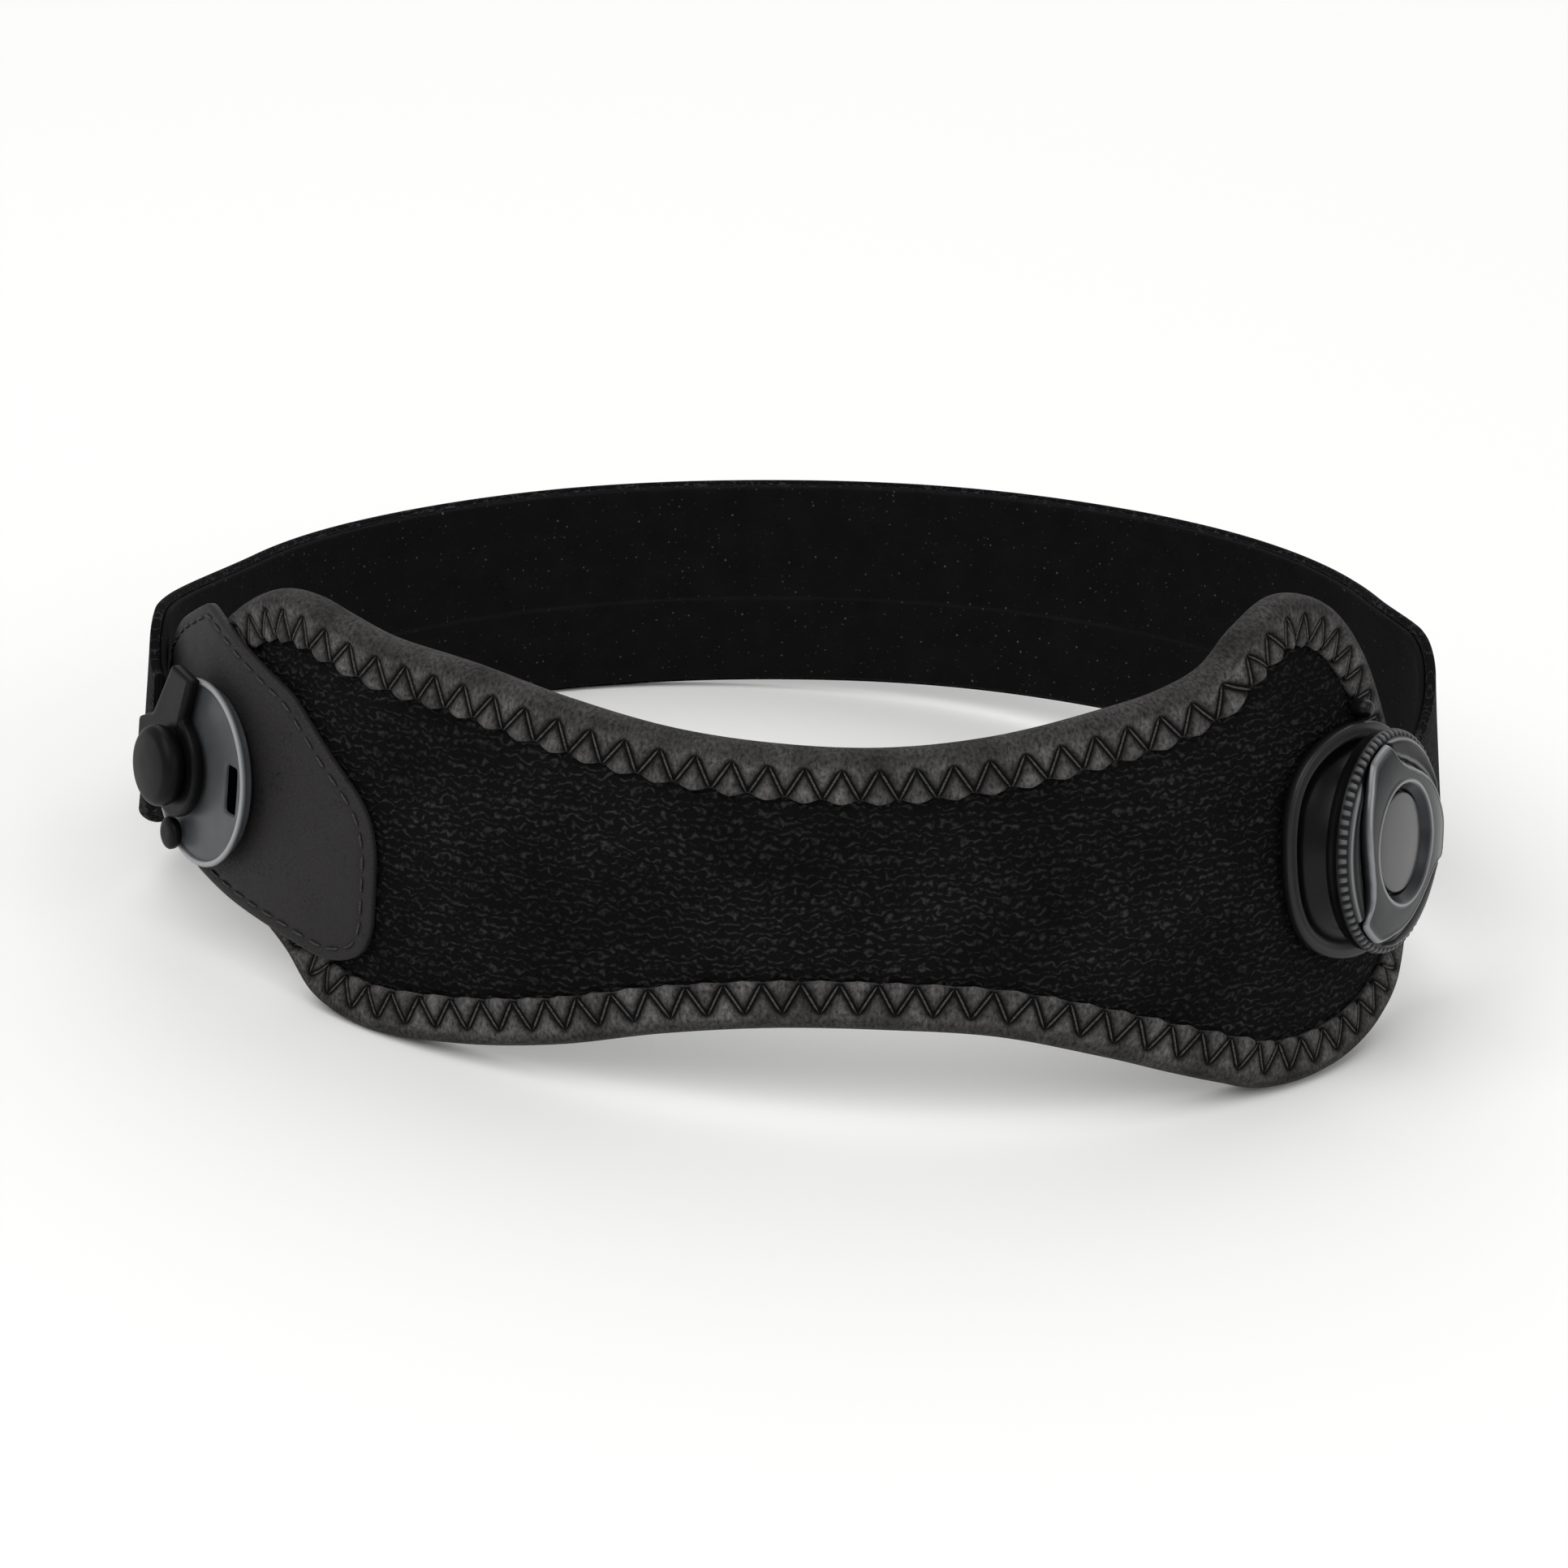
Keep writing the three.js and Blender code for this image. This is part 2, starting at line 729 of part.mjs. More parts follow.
// The knob's three-armed cap with a bowl in its middle for the face
function dialCap() {
  const sides = 84;
  const crownAt = (radius) => capSeat + capRimHeight + capCrown * (1 - ((radius - capBowl) / (capRadius - capBowl)) ** 2);
  const section = (angle) => {
    const reach = capRadius * armReach(THREE.MathUtils.radToDeg(angle));
    const bowl = faceRadius + clearance;
    const between = THREE.MathUtils.lerp(capBowl, reach, 0.55);
    const pairs = [
      [bowl, capSeat],
      [reach, capSeat],
      [reach, crownAt(reach) - capRimHeight * 0.4],
      [reach - 0.4, crownAt(reach - 0.4)],
      [between, crownAt(between)],
      [capBowl, crownAt(capBowl)],
      [bowl, capSeat + faceHeight * 0.6],
    ];
    return pairs.map(([radius, height]) => new THREE.Vector3(radius * Math.cos(angle), radius * Math.sin(angle), height));
  };
  const sections = [];
  for (let j = 0; j < sides; j += 1) {
    sections.push(section((j / sides) * 2 * Math.PI));
  }
  return loft(sections, true);
}

// The low domed disc in the middle of the cap
function dialFace() {
  return turned(
    [
      [0, capSeat],
      [faceRadius, capSeat],
      [faceRadius, capSeat + faceHeight],
      [faceRadius * 0.6, capSeat + faceHeight + 0.64 * faceCrown],
      [0, capSeat + faceHeight + faceCrown],
    ],
    48,
  );
}

// A small domed post beside the flange, where the cable leaves the dial
function cableGuide() {
  return turned(
    [
      [0, 0],
      [guideRadius, 0],
      [guideRadius, guideHeight * 0.6],
      [guideRadius * 0.6, guideHeight * 0.9],
      [0, guideHeight],
    ],
    16,
  );
}

function piece(name, geometry, material) {
  const mesh = new THREE.Mesh(geometry, material);
  mesh.name = name;
  return mesh;
}

// The buckle's hard pieces on their flat seat
function buckleGroup() {
  const group = wallGroup(buckleAlong, buckleUp);
  group.add(piece("buckle_disc", buckleDisc(), greyPlastic));
  const hook = new THREE.Group();
  hook.position.x = -hookSetBack;
  hook.add(piece("hook_plate", hookPlate(), blackPlastic));
  hook.add(piece("buckle_stud", buckleStud(), blackPlastic));
  const tab = piece("latch_tab", latchTab(), blackPlastic);
  tab.position.y = -hookRadius - tabRadius - clearance;
  hook.add(tab);
  group.add(hook);
  return group;
}

// The knob on its spindle
function knobGroup() {
  const group = dialAxis();
  group.add(piece("dial_spindle", dialSpindle(), blackPlastic));
  group.add(piece("dial_grip_ring", dialGripRing(), blackPlastic));
  group.add(piece("dial_cap", dialCap(), satinBlack));
  group.add(piece("dial_face", dialFace(), satinBlack));
  return group;
}

// One cable guide, standing on the pad's bound edge close to the flange
function guideGroup(name, turn) {
  const reach = flangeRadius + clearance + guideRadius;
  const group = wallGroup(dialAlong + reach * Math.cos(turn), dialUp + reach * Math.sin(turn));
  const guide = piece(name, cableGuide(), blackPlastic);
  guide.position.z = seatLevel;
  group.add(guide);
  return group;
}

// Direction that is straight up once the band rests on both lobes and on the strap's back edge
function restingUp(binding, strap) {
  const leftLobe = [];
  const rightLobe = [];
  const back = [];
  const collect = (geometry, sort) => {
    const position = geometry.attributes.position;
    for (let i = 0; i < position.count; i += 1) {
      const point = new THREE.Vector3().fromBufferAttribute(position, i);
      sort(point).push(point);
    }
  };
  collect(binding, (point) => (point.x < 0 ? leftLobe : rightLobe));
  collect(strap, () => back);
  const up = new THREE.Vector3(0, 0, 1);
  const rounds = 8;
  for (let round = 0; round < rounds; round += 1) {
    const [a, b, c] = [leftLobe, rightLobe, back].map((group) =>
      group.reduce((low, point) => (point.dot(up) < low.dot(up) ? point : low)),
    );
    up.crossVectors(b.clone().sub(a), c.clone().sub(a)).normalize();
  }
  return up;
}

// What lies below the resting plane once the edges are pressed flat on it
function floorBlock(binding, up) {
  const position = binding.attributes.position;
  let lowest = Infinity;
  for (let i = 0; i < position.count; i += 1) {
    lowest = Math.min(lowest, new THREE.Vector3().fromBufferAttribute(position, i).dot(up));
  }
  const span = 6 * Math.max(leftHalfWidth, backDepth);
  const block = new THREE.BoxGeometry(span, span, span);
  block.translate(0, 0, lowest + restFlat - span / 2);
  return block.applyQuaternion(new THREE.Quaternion().setFromUnitVectors(new THREE.Vector3(0, 0, 1), up));
}

// The whole strap, tipped onto its resting places, with its origin under the middle of its box
function patellaStrap() {
  const binding = padBinding();
  const outer = strapPly(liningPly + clearance, strapThickness, 0);
  const up = restingUp(binding, outer);
  const floor = floorBlock(binding, up);
  const band = new THREE.Group();
  band.add(piece("front_pad", frontPad(), knit));
  band.add(piece("pad_binding", cutAway(binding, floor), tape));
  band.add(piece("strap_outer", cutAway(outer, floor), knit));
  band.add(piece("strap_lining", strapPly(0, liningPly, liningInset), knit));
  band.add(piece("buckle_patch", bucklePatch(), leather));
  band.add(piece("dial_base", dialBase(), blackPlastic));
  band.add(buckleGroup(), knobGroup());
  band.add(guideGroup("cable_guide_upper", upperGuideAngle));
  band.add(guideGroup("cable_guide_lower", lowerGuideAngle));
  band.quaternion.setFromUnitVectors(up, new THREE.Vector3(0, 0, 1));
  band.updateMatrixWorld(true);
  const box = new THREE.Box3().setFromObject(band, true);
  const centre = box.getCenter(new THREE.Vector3());
  band.position.set(-centre.x, -centre.y, -box.min.z);
  const strap = new THREE.Group();
  strap.add(band);
  return strap;
}

export default patellaStrap();
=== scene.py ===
# Patella strap: the looks of its knit pad, bound edge, strap, buckle and dial.
#
# Every surface is a grid of points worked out with numpy in the strap's level frame, in
# millimetres: "along" runs round the band, "up" climbs its wall, "out" leaves the wall.
# The level frame is then tipped onto the three places that the strap rests on.

import bmesh
import bpy
import numpy as np
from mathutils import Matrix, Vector


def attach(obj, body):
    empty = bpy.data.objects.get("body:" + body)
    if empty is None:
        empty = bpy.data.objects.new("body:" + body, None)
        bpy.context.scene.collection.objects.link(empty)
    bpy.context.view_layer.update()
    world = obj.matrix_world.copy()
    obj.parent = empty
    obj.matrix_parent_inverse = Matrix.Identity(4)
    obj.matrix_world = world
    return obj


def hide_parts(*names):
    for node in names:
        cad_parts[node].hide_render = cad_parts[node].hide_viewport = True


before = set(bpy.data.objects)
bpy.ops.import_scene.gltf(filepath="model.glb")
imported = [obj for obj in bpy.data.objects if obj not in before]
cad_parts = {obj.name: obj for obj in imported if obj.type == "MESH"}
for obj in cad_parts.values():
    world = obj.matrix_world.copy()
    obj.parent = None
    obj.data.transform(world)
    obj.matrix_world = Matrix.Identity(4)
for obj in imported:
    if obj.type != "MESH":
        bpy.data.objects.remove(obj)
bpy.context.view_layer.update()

MM = 0.001

# How the level frame is tipped to rest, as a unit quaternion, and where its origin then lies
REST_TURN = {"w": 0.9984363, "x": -0.0444691, "y": -0.0338736, "z": 0.0}
REST_SHIFT = np.array([0.842, -6.647, 26.903])

# The band seen from above: four quarter ellipses, and how far its wall leans in
LEFT_HALF_WIDTH = 91.5
RIGHT_HALF_WIDTH = 87.5
FRONT_DEPTH = 64.4
BACK_DEPTH = 79.7
WALL_LEAN = 0.1
LEAN_FADE = 60.0

# Front pad and its bound edge
PAD_HALF_LENGTH = 110.0
LOBE_REACH = 35.0
PAD_UP = -1.0
PAD_THICKNESS = 4.4
PAD_EDGE_THICKNESS = 3.0
CROWN_START = 2.0
CROWN_RUN = 5.0
PAD_SWELL = 0.25
SWELL_RUN = 14.0
TAPE_WIDTH = 7.0
TAPE_THICKNESS = 0.9
TAPE_FOLD = 1.2
FOLD_RADIUS = 1.9
CLEARANCE = 0.3

# The tape's zigzag seam, between two insets from its edge, and the puffs beside it
ZIGZAG_WANTED_PITCH = 4.9
ZIGZAG_NEAR = 2.4
ZIGZAG_FAR = 6.9
PUFF_WIDTH = 0.8
PUFF_DEPTH = 0.85
PUFF_RISE = 0.2
FLAT_FOLD = 1.6
SCALLOP_DEPTH = 1.1
SCALLOP_BACK = 0.7
THREAD_SINK = 0.22
THREAD_RADIUS = 0.17

# Strap
STRAP_WIDTH = 34.4
STRAP_UP = -0.5
OUTER_PLY = 1.3
LINING_PLY = 1.0
LINING_INSET = 0.75
DIAL_TAPER = 26.0
HOOK_TAPER = 15.0
STRAP_FREE_OUT = 0.4
DIAL_END_WIDTH = 17.0
HOOK_END_WIDTH = 21.0
HOOK_BLEND = 48.0
DIAL_BLEND = 42.0
STRAP_BULGE = 2.3
BULGE_RUN = 40.0

# Patch
PATCH_FRONT = -52.5
PATCH_LENGTH = 60.5
PATCH_HEIGHT = 46.0
PATCH_THICKNESS = 1.3

# Buckle
BUCKLE_ALONG = -86.0
BUCKLE_UP = 1.5
DISC_RADIUS = 13.7
DISC_THICKNESS = 2.2
SLOT_LENGTH = 7.0
SLOT_WIDTH = 3.4
SLOT_FROM_CENTRE = 9.6
HOOK_SET_BACK = 5.0
HOOK_RADIUS = 7.7
HOOK_THICKNESS = 1.8
HOOK_TAIL = 10.5
HOOK_TAIL_WIDTH = 9.0
TONGUE_TOP = 14.7
TONGUE_WIDTH = 6.0
TONGUE_ROOT = 6.2
TONGUE_TURN = np.radians(70.0)
STUD_RADIUS = 2.6
HEAD_RADIUS = 6.0
HEAD_HEIGHT = 3.6
TAB_RADIUS = 2.4

# Dial
DIAL_ALONG = 90.5
DIAL_UP = -2.4
DIAL_YAW = np.radians(9.0)
FLANGE_RADIUS = 16.9
FLANGE_THICKNESS = 1.6
FRONT_REACH = 14.6
FRONT_ROUNDING = 6
LIP_HEIGHT = 0.7
EAR_REACH = 17.2
EAR_SLANT = np.radians(53.5)
EAR_GAP = 0.5
BOSS_RADIUS = 12.6
BOSS_HEIGHT = 2.0
RING_RADIUS = 16.0
RING_HEIGHT = 3.2
RING_TEETH = 72
SPINDLE_RADIUS = 2.7
CAP_RADIUS = 15.0
CAP_BOWL = 8.9
FACE_RADIUS = 7.2
FACE_HEIGHT = 0.7
FACE_CROWN = 0.4
GUIDE_RADIUS = 1.4
GUIDE_HEIGHT = 2.8
GUIDE_ANGLES = {"upper": np.radians(79.0), "lower": np.radians(-62.0)}

# Levels out from the middle of the pad's thickness
TAPE_FACE = PAD_EDGE_THICKNESS / 2 + CLEARANCE + TAPE_THICKNESS
SEAT_LEVEL = TAPE_FACE + CLEARANCE
PATCH_FACE = SEAT_LEVEL + PATCH_THICKNESS
DISC_SEAT = PATCH_FACE + CLEARANCE
DISC_FACE = DISC_SEAT + DISC_THICKNESS
HOOK_SEAT = DISC_FACE + CLEARANCE
HOOK_FACE = HOOK_SEAT + HOOK_THICKNESS
FLANGE_FACE = SEAT_LEVEL + FLANGE_THICKNESS
BOSS_FACE = FLANGE_FACE + BOSS_HEIGHT
RING_SEAT = BOSS_FACE + CLEARANCE
RING_FACE = RING_SEAT + RING_HEIGHT
CAP_SEAT = RING_FACE + CLEARANCE
STRAP_THICKNESS = OUTER_PLY + CLEARANCE + LINING_PLY

# Outline of the pad, left tip to right tip: shares of its half length and of its lobes' reach
PAD_OUTLINE = {
    "along": [
        -0.945, -0.909, -0.845, -0.773, -0.7, -0.636, -0.582, -0.5, -0.364, -0.227, -0.09, 0.045,
        0.182, 0.318, 0.455, 0.545, 0.61, 0.664, 0.736, 0.818, 0.891, 0.955, 1.02,
    ],
    "top": [
        0.09, 0.37, 0.61, 0.79, 0.9, 0.915, 0.885, 0.83, 0.78, 0.69, 0.61, 0.57,
        0.56, 0.594, 0.666, 0.72, 0.79, 0.92, 1.015, 0.943, 0.72, 0.35, -0.22,
    ],
    "bottom": [
        0.09, -0.17, -0.3, -0.37, -0.46, -0.57, -0.72, -0.795, -0.777, -0.714, -0.62, -0.57,
        -0.571, -0.614, -0.737, -0.843, -0.92, -0.98, -1.0, -0.971, -0.894, -0.76, -0.22,
    ],
}

# Outline of the patch: shares of its length behind its front edge, and of its height
PATCH_OUTLINE = {
    "back": [0, 0.02, 0.06, 0.13, 0.27, 0.45, 0.63, 0.82, 1],
    "top": [-0.08, 0.02, 0.09, 0.17, 0.34, 0.43, 0.525, 0.4, 0.24],
    "bottom": [-0.33, -0.41, -0.44, -0.46, -0.42, -0.38, -0.33, -0.28, -0.23],
}

# Edge of one arm of the cap: degrees from its trailing corner and share of the cap's radius
ARM_EDGE = {
    "turn": [0, 15, 30, 48, 64, 80, 90, 96, 99, 120],
    "reach": [1, 0.887, 0.82, 0.75, 0.72, 0.735, 0.79, 0.87, 1, 1],
}
ARM_COUNT = 3
FIRST_ARM = -2.0


# Layout


def smooth(share):
    """Smooth step from 0 to 1: three squares less two cubes of the share."""
    t = np.clip(share, 0, 1)
    return t * t * (3 - 2 * t)


def band_plan(steps=2880):
    """Length, points and normals of the band seen from above: each quarter is an ellipse whose
    half width and depth depend on its side."""
    turn = np.linspace(-0.5 * np.pi, 1.5 * np.pi, steps + 1)
    half_width = np.where(np.cos(turn) < 0, LEFT_HALF_WIDTH, RIGHT_HALF_WIDTH)
    depth = np.where(np.sin(turn) < 0, FRONT_DEPTH, BACK_DEPTH)
    point = np.stack([half_width * np.cos(turn), depth * np.sin(turn)], axis=-1)
    normal = np.stack([np.cos(turn) / half_width, np.sin(turn) / depth], axis=-1)
    normal /= np.linalg.norm(normal, axis=-1, keepdims=True)
    step = np.linalg.norm(np.diff(point, axis=0), axis=-1)
    return np.concatenate([[0], np.cumsum(step)]), point, normal


PLAN_LENGTH, PLAN_POINT, PLAN_NORMAL = band_plan()
BAND_LENGTH = PLAN_LENGTH[-1]


def wall_axes(along):
    """Foot, outward and upward directions of the wall at a length along the band. The wall
    leans in by a fixed angle over the pad, and the lean fades to none past the pad's ends."""
    wanted = np.mod(along, BAND_LENGTH)
    x = np.interp(wanted, PLAN_LENGTH, PLAN_POINT[:, 0])
    y = np.interp(wanted, PLAN_LENGTH, PLAN_POINT[:, 1])
    nx = np.interp(wanted, PLAN_LENGTH, PLAN_NORMAL[:, 0])
    ny = np.interp(wanted, PLAN_LENGTH, PLAN_NORMAL[:, 1])
    size = np.hypot(nx, ny)
    nx, ny = nx / size, ny / size
    from_front = np.minimum(wanted, BAND_LENGTH - wanted)
    lean = WALL_LEAN * (1 - smooth((from_front - PAD_HALF_LENGTH) / LEAN_FADE))
    foot = np.stack([x, y, np.zeros_like(x)], axis=-1)
    out = np.stack([nx * np.cos(lean), ny * np.cos(lean), np.sin(lean)], axis=-1)
    up = np.stack([-nx * np.sin(lean), -ny * np.sin(lean), np.cos(lean)], axis=-1)
    return foot, out, up


def wall(along, up, out):
    """Places in the level frame: the wall's foot, plus up and out along its two directions."""
    along, up, out = np.broadcast_arrays(along, up, out)
    foot, out_axis, up_axis = wall_axes(along)
    return foot + up[..., None] * up_axis + out[..., None] * out_axis


def rest_matrix():
    """Rotation matrix of the unit quaternion that tips the level frame to rest."""
    w, x, y, z = (REST_TURN[key] for key in "wxyz")
    return np.array(
        [
            [1 - 2 * (y * y + z * z), 2 * (x * y - z * w), 2 * (x * z + y * w)],
            [2 * (x * y + z * w), 1 - 2 * (x * x + z * z), 2 * (y * z - x * w)],
            [2 * (x * z - y * w), 2 * (y * z + x * w), 1 - 2 * (x * x + y * y)],
        ]
    )


REST_MATRIX = rest_matrix()


def to_world(level_points):
    """Metres in the row frame, from millimetres in the level frame. A point that would sink
    below the floor is pressed flat onto it."""
    world = level_points @ REST_MATRIX.T + REST_SHIFT
    world[..., 2] = np.maximum(world[..., 2], 0)
    return world * MM


def seat(along, up, yaw=0.0):
    """A function that places local points: x along the wall, y up it and z out of it, turned
    by yaw about its y, with the origin on the wall."""
    foot, out_axis, up_axis = wall_axes(np.array(float(along)))
    right_axis = np.cross(up_axis, out_axis)
    x_axis = np.cos(yaw) * right_axis - np.sin(yaw) * out_axis
    z_axis = np.cos(yaw) * out_axis + np.sin(yaw) * right_axis
    origin = foot + up * up_axis

    def place(points):
        return origin + points @ np.stack([x_axis, up_axis, z_axis])

    return place


# Mesh making


def grid_faces(rows, columns, wrap_rows, wrap_columns):
    """Corner numbers of each quad of a grid, wrapped to its start where asked."""
    i = np.arange(rows if wrap_rows else rows - 1)[:, None]
    j = np.arange(columns if wrap_columns else columns - 1)[None, :]
    here, there = i * columns, ((i + 1) % rows) * columns
    left, right = j, (j + 1) % columns
    corners = np.stack([here + left, here + right, there + right, there + left], axis=-1)
    return corners.reshape(-1, 4)


def face_marks(marks, rows, columns, wrap_rows, wrap_columns):
    """Surface coordinates for each quad's corners, in the order of grid_faces."""
    i = np.arange(rows if wrap_rows else rows - 1)[:, None]
    j = np.arange(columns if wrap_columns else columns - 1)[None, :]
    corners = [marks[i, j], marks[i, j + 1], marks[i + 1, j + 1], marks[i + 1, j]]
    return np.stack(corners, axis=-2).reshape(-1, 2)


def enclosed_volume(points, faces):
    """Volume under the faces, each cut in two triangles: a third of height times area."""
    a, b, c, d = (points[faces[:, k]] for k in range(4))
    first = np.einsum("ij,ij->i", a, np.cross(b, c))
    second = np.einsum("ij,ij->i", a, np.cross(c, d))
    return (first.sum() + second.sum()) / 6


def around_axis(reach, height, turn):
    """Local points at a reach from the z axis towards each turn, and at a height on it."""
    sides = np.broadcast_arrays(reach * np.cos(turn), reach * np.sin(turn), height)
    return np.stack(sides, axis=-1)


def build_piece(name, vertices, faces, marks=None):
    """A smooth-shaded object from vertices and lists of corners, with marks as its map."""
    mesh = bpy.data.meshes.new(name)
    mesh.from_pydata(vertices.tolist(), [], faces)
    if marks is not None:
        layer = mesh.uv_layers.new(name="surface")
        layer.data.foreach_set("uv", marks.astype(np.float32).ravel())
    mesh.polygons.foreach_set("use_smooth", np.ones(len(mesh.polygons), dtype=bool))
    mesh.update()
    piece = bpy.data.objects.new(name, mesh)
    bpy.context.scene.collection.objects.link(piece)
    return piece


def grid_piece(name, level, marks=None, wrap_rows=False, wrap_columns=False):
    """A surface through a grid of level points, its faces turned to enclose a volume."""
    rows, columns = level.shape[:2]
    vertices = to_world(level).reshape(-1, 3)
    faces = grid_faces(rows, columns, wrap_rows, wrap_columns)
    corner_marks = None
    if marks is not None:
        corner_marks = face_marks(marks, rows, columns, wrap_rows, wrap_columns)
    if enclosed_volume(vertices - vertices.mean(axis=0), faces) < 0:
        faces = faces[:, ::-1]
        if corner_marks is not None:
            corner_marks = corner_marks.reshape(-1, 4, 2)[:, ::-1].reshape(-1, 2)
    return build_piece(name, vertices, faces.tolist(), corner_marks)


def close_poles(piece, distance=1e-6):
    """Merges the points that meet at poles and seams."""
    shape = bmesh.new()
    shape.from_mesh(piece.data)
    bmesh.ops.remove_doubles(shape, verts=shape.verts, dist=distance)
    shape.to_mesh(piece.data)
    shape.free()
    return piece


def fillet(rows, steps=5):
    """Points of a profile whose corners are rounded: each row is (radius, height, rounding),
    and a corner becomes a quadratic curve between the points one rounding away from it."""
    rows = [np.array(row[:2] + (row[2] if len(row) > 2 else 0,), dtype=float) for row in rows]
    points = [rows[0][:2]]
    share = np.linspace(0, 1, steps)[:, None]
    for before, corner, after in zip(rows, rows[1:], rows[2:]):
        towards_before = before[:2] - corner[:2]
        towards_after = after[:2] - corner[:2]
        reach_before = min(corner[2], np.linalg.norm(towards_before) * 0.49)
        reach_after = min(corner[2], np.linalg.norm(towards_after) * 0.49)
        if reach_before < 1e-6:
            points.append(corner[:2])
            continue
        start = corner[:2] + towards_before / np.linalg.norm(towards_before) * reach_before
        end = corner[:2] + towards_after / np.linalg.norm(towards_after) * reach_after
        curve = (1 - share) ** 2 * start + 2 * share * (1 - share) * corner[:2] + share**2 * end
        points.extend(curve)
    points.append(rows[-1][:2])
    return np.array(points)


def turned_piece(name, profile, place, sides=96):
    """A turned surface: the profile's radius swept round its axis, at the profile's height."""
    turn = np.linspace(0, 2 * np.pi, sides, endpoint=False)
    radius, height = profile.T[..., None]
    local = around_axis(radius, height, turn)
    return close_poles(grid_piece(name, place(local), wrap_columns=True))


def mark_points(piece, name, values):
    """Stores a value from 0 to 1 at each point of a piece, for its material to read."""
    layer = piece.data.attributes.new(name, "FLOAT", "POINT")
    layer.data.foreach_set("value", values.astype(np.float32).ravel())


# Materials. A noise's scale is one over the size of its blobs in millimetres.


MULTIPLIED = {"data_type": "RGBA", "blend_type": "MULTIPLY"}


def linear(hex_colour):
    """Linear red, green, blue and alpha from an sRGB hex value."""
    channels = np.array([int(hex_colour[i : i + 2], 16) / 255 for i in (1, 3, 5)])
    bright = ((channels + 0.055) / 1.055) ** 2.4
    return (*np.where(channels <= 0.04045, channels / 12.92, bright), 1.0)


def node(tree, kind, inputs=None, output=0, **settings):
    """Adds a shader node, sets its own settings, links or sets each named or numbered input, and
    gives back one of its outputs."""
    added = tree.nodes.new("ShaderNode" + kind)
    for key, value in settings.items():
        setattr(added, key, value)
    for key, value in (inputs or {}).items():
        if isinstance(value, bpy.types.NodeSocket):
            tree.links.new(value, added.inputs[key])
        else:
            added.inputs[key].default_value = value
    return added.outputs[output] if len(added.outputs) else None


def empty_material(name):
    """A material with no nodes, and its node tree."""
    material = bpy.data.materials.new(name)
    material.use_nodes = True
    material.node_tree.nodes.clear()
    return material, material.node_tree


def finish_material(tree, inputs):
    """Ends a material: a Principled shader with these inputs, shown on the surface."""
    surface = node(tree, "BsdfPrincipled", inputs)
    node(tree, "OutputMaterial", {"Surface": surface})


def between(tree, value, low, high, low_colour, high_colour):
    """Colour that goes from one hex colour to another as value goes from low to high."""
    share = node(tree, "MapRange", {"Value": value, "From Min": low, "From Max": high})
    colours = {"Factor": share, 6: linear(low_colour), 7: linear(high_colour)}
    return node(tree, "Mix", colours, 2, data_type="RGBA")


def knit_pad_material():
    """Polyester and elastane rib knit: matt black yarn in fine rippled rows along the pad, broken
    into short loops that catch a little light, with black gaps between them."""
    material, tree = empty_material("black_rib_knit")
    row_mm = 1.2
    ripple_push = 16.0
    place = node(tree, "UVMap", uv_map="surface")
    up = node(tree, "SeparateXYZ", {0: place}, 1)
    ripple = node(tree, "TexNoise", {"Vector": place, "Scale": 1 / 1.7, "Detail": 1.0, "Roughness": 0.55})
    even_rows = node(tree, "Math", {0: up, 1: 2 * np.pi / row_mm}, operation="MULTIPLY")
    bent = {0: ripple, 1: ripple_push, 2: even_rows}
    phase = node(tree, "Math", bent, operation="MULTIPLY_ADD")
    rows = node(tree, "Math", {0: phase}, operation="SINE")
    raised = node(tree, "MapRange", {"Value": rows, "From Min": -0.4, "From Max": 1.0})
    fuzz = node(tree, "TexNoise", {"Vector": place, "Scale": 1 / 0.9, "Detail": 2.0, "Roughness": 0.6})
    broken = node(tree, "MapRange", {"Value": fuzz, "From Min": 0.4, "From Max": 0.66})
    bright = node(tree, "Math", {0: raised, 1: broken}, operation="MULTIPLY")
    tint = between(tree, bright, 0.05, 0.9, "#0d0d0d", "#363636")
    cloudy = node(tree, "TexNoise", {"Vector": place, "Scale": 1 / 18.0, "Detail": 4.0, "Roughness": 0.55})
    wear = between(tree, cloudy, 0.3, 0.72, "#9c9c9c", "#ffffff")
    height = node(tree, "Math", {0: fuzz, 1: 0.6, 2: raised}, operation="MULTIPLY_ADD")
    wear_and_highlight = {"Factor": 1.0, 6: tint, 7: wear}
    finish_material(tree, {
        "Base Color": node(tree, "Mix", wear_and_highlight, 2, **MULTIPLIED),
        "Normal": node(tree, "Bump", {"Height": height, "Strength": 1.0, "Distance": 0.2 * MM}),
        "Roughness": 0.9,
        "Specular IOR Level": 0.08,
    })
    return material


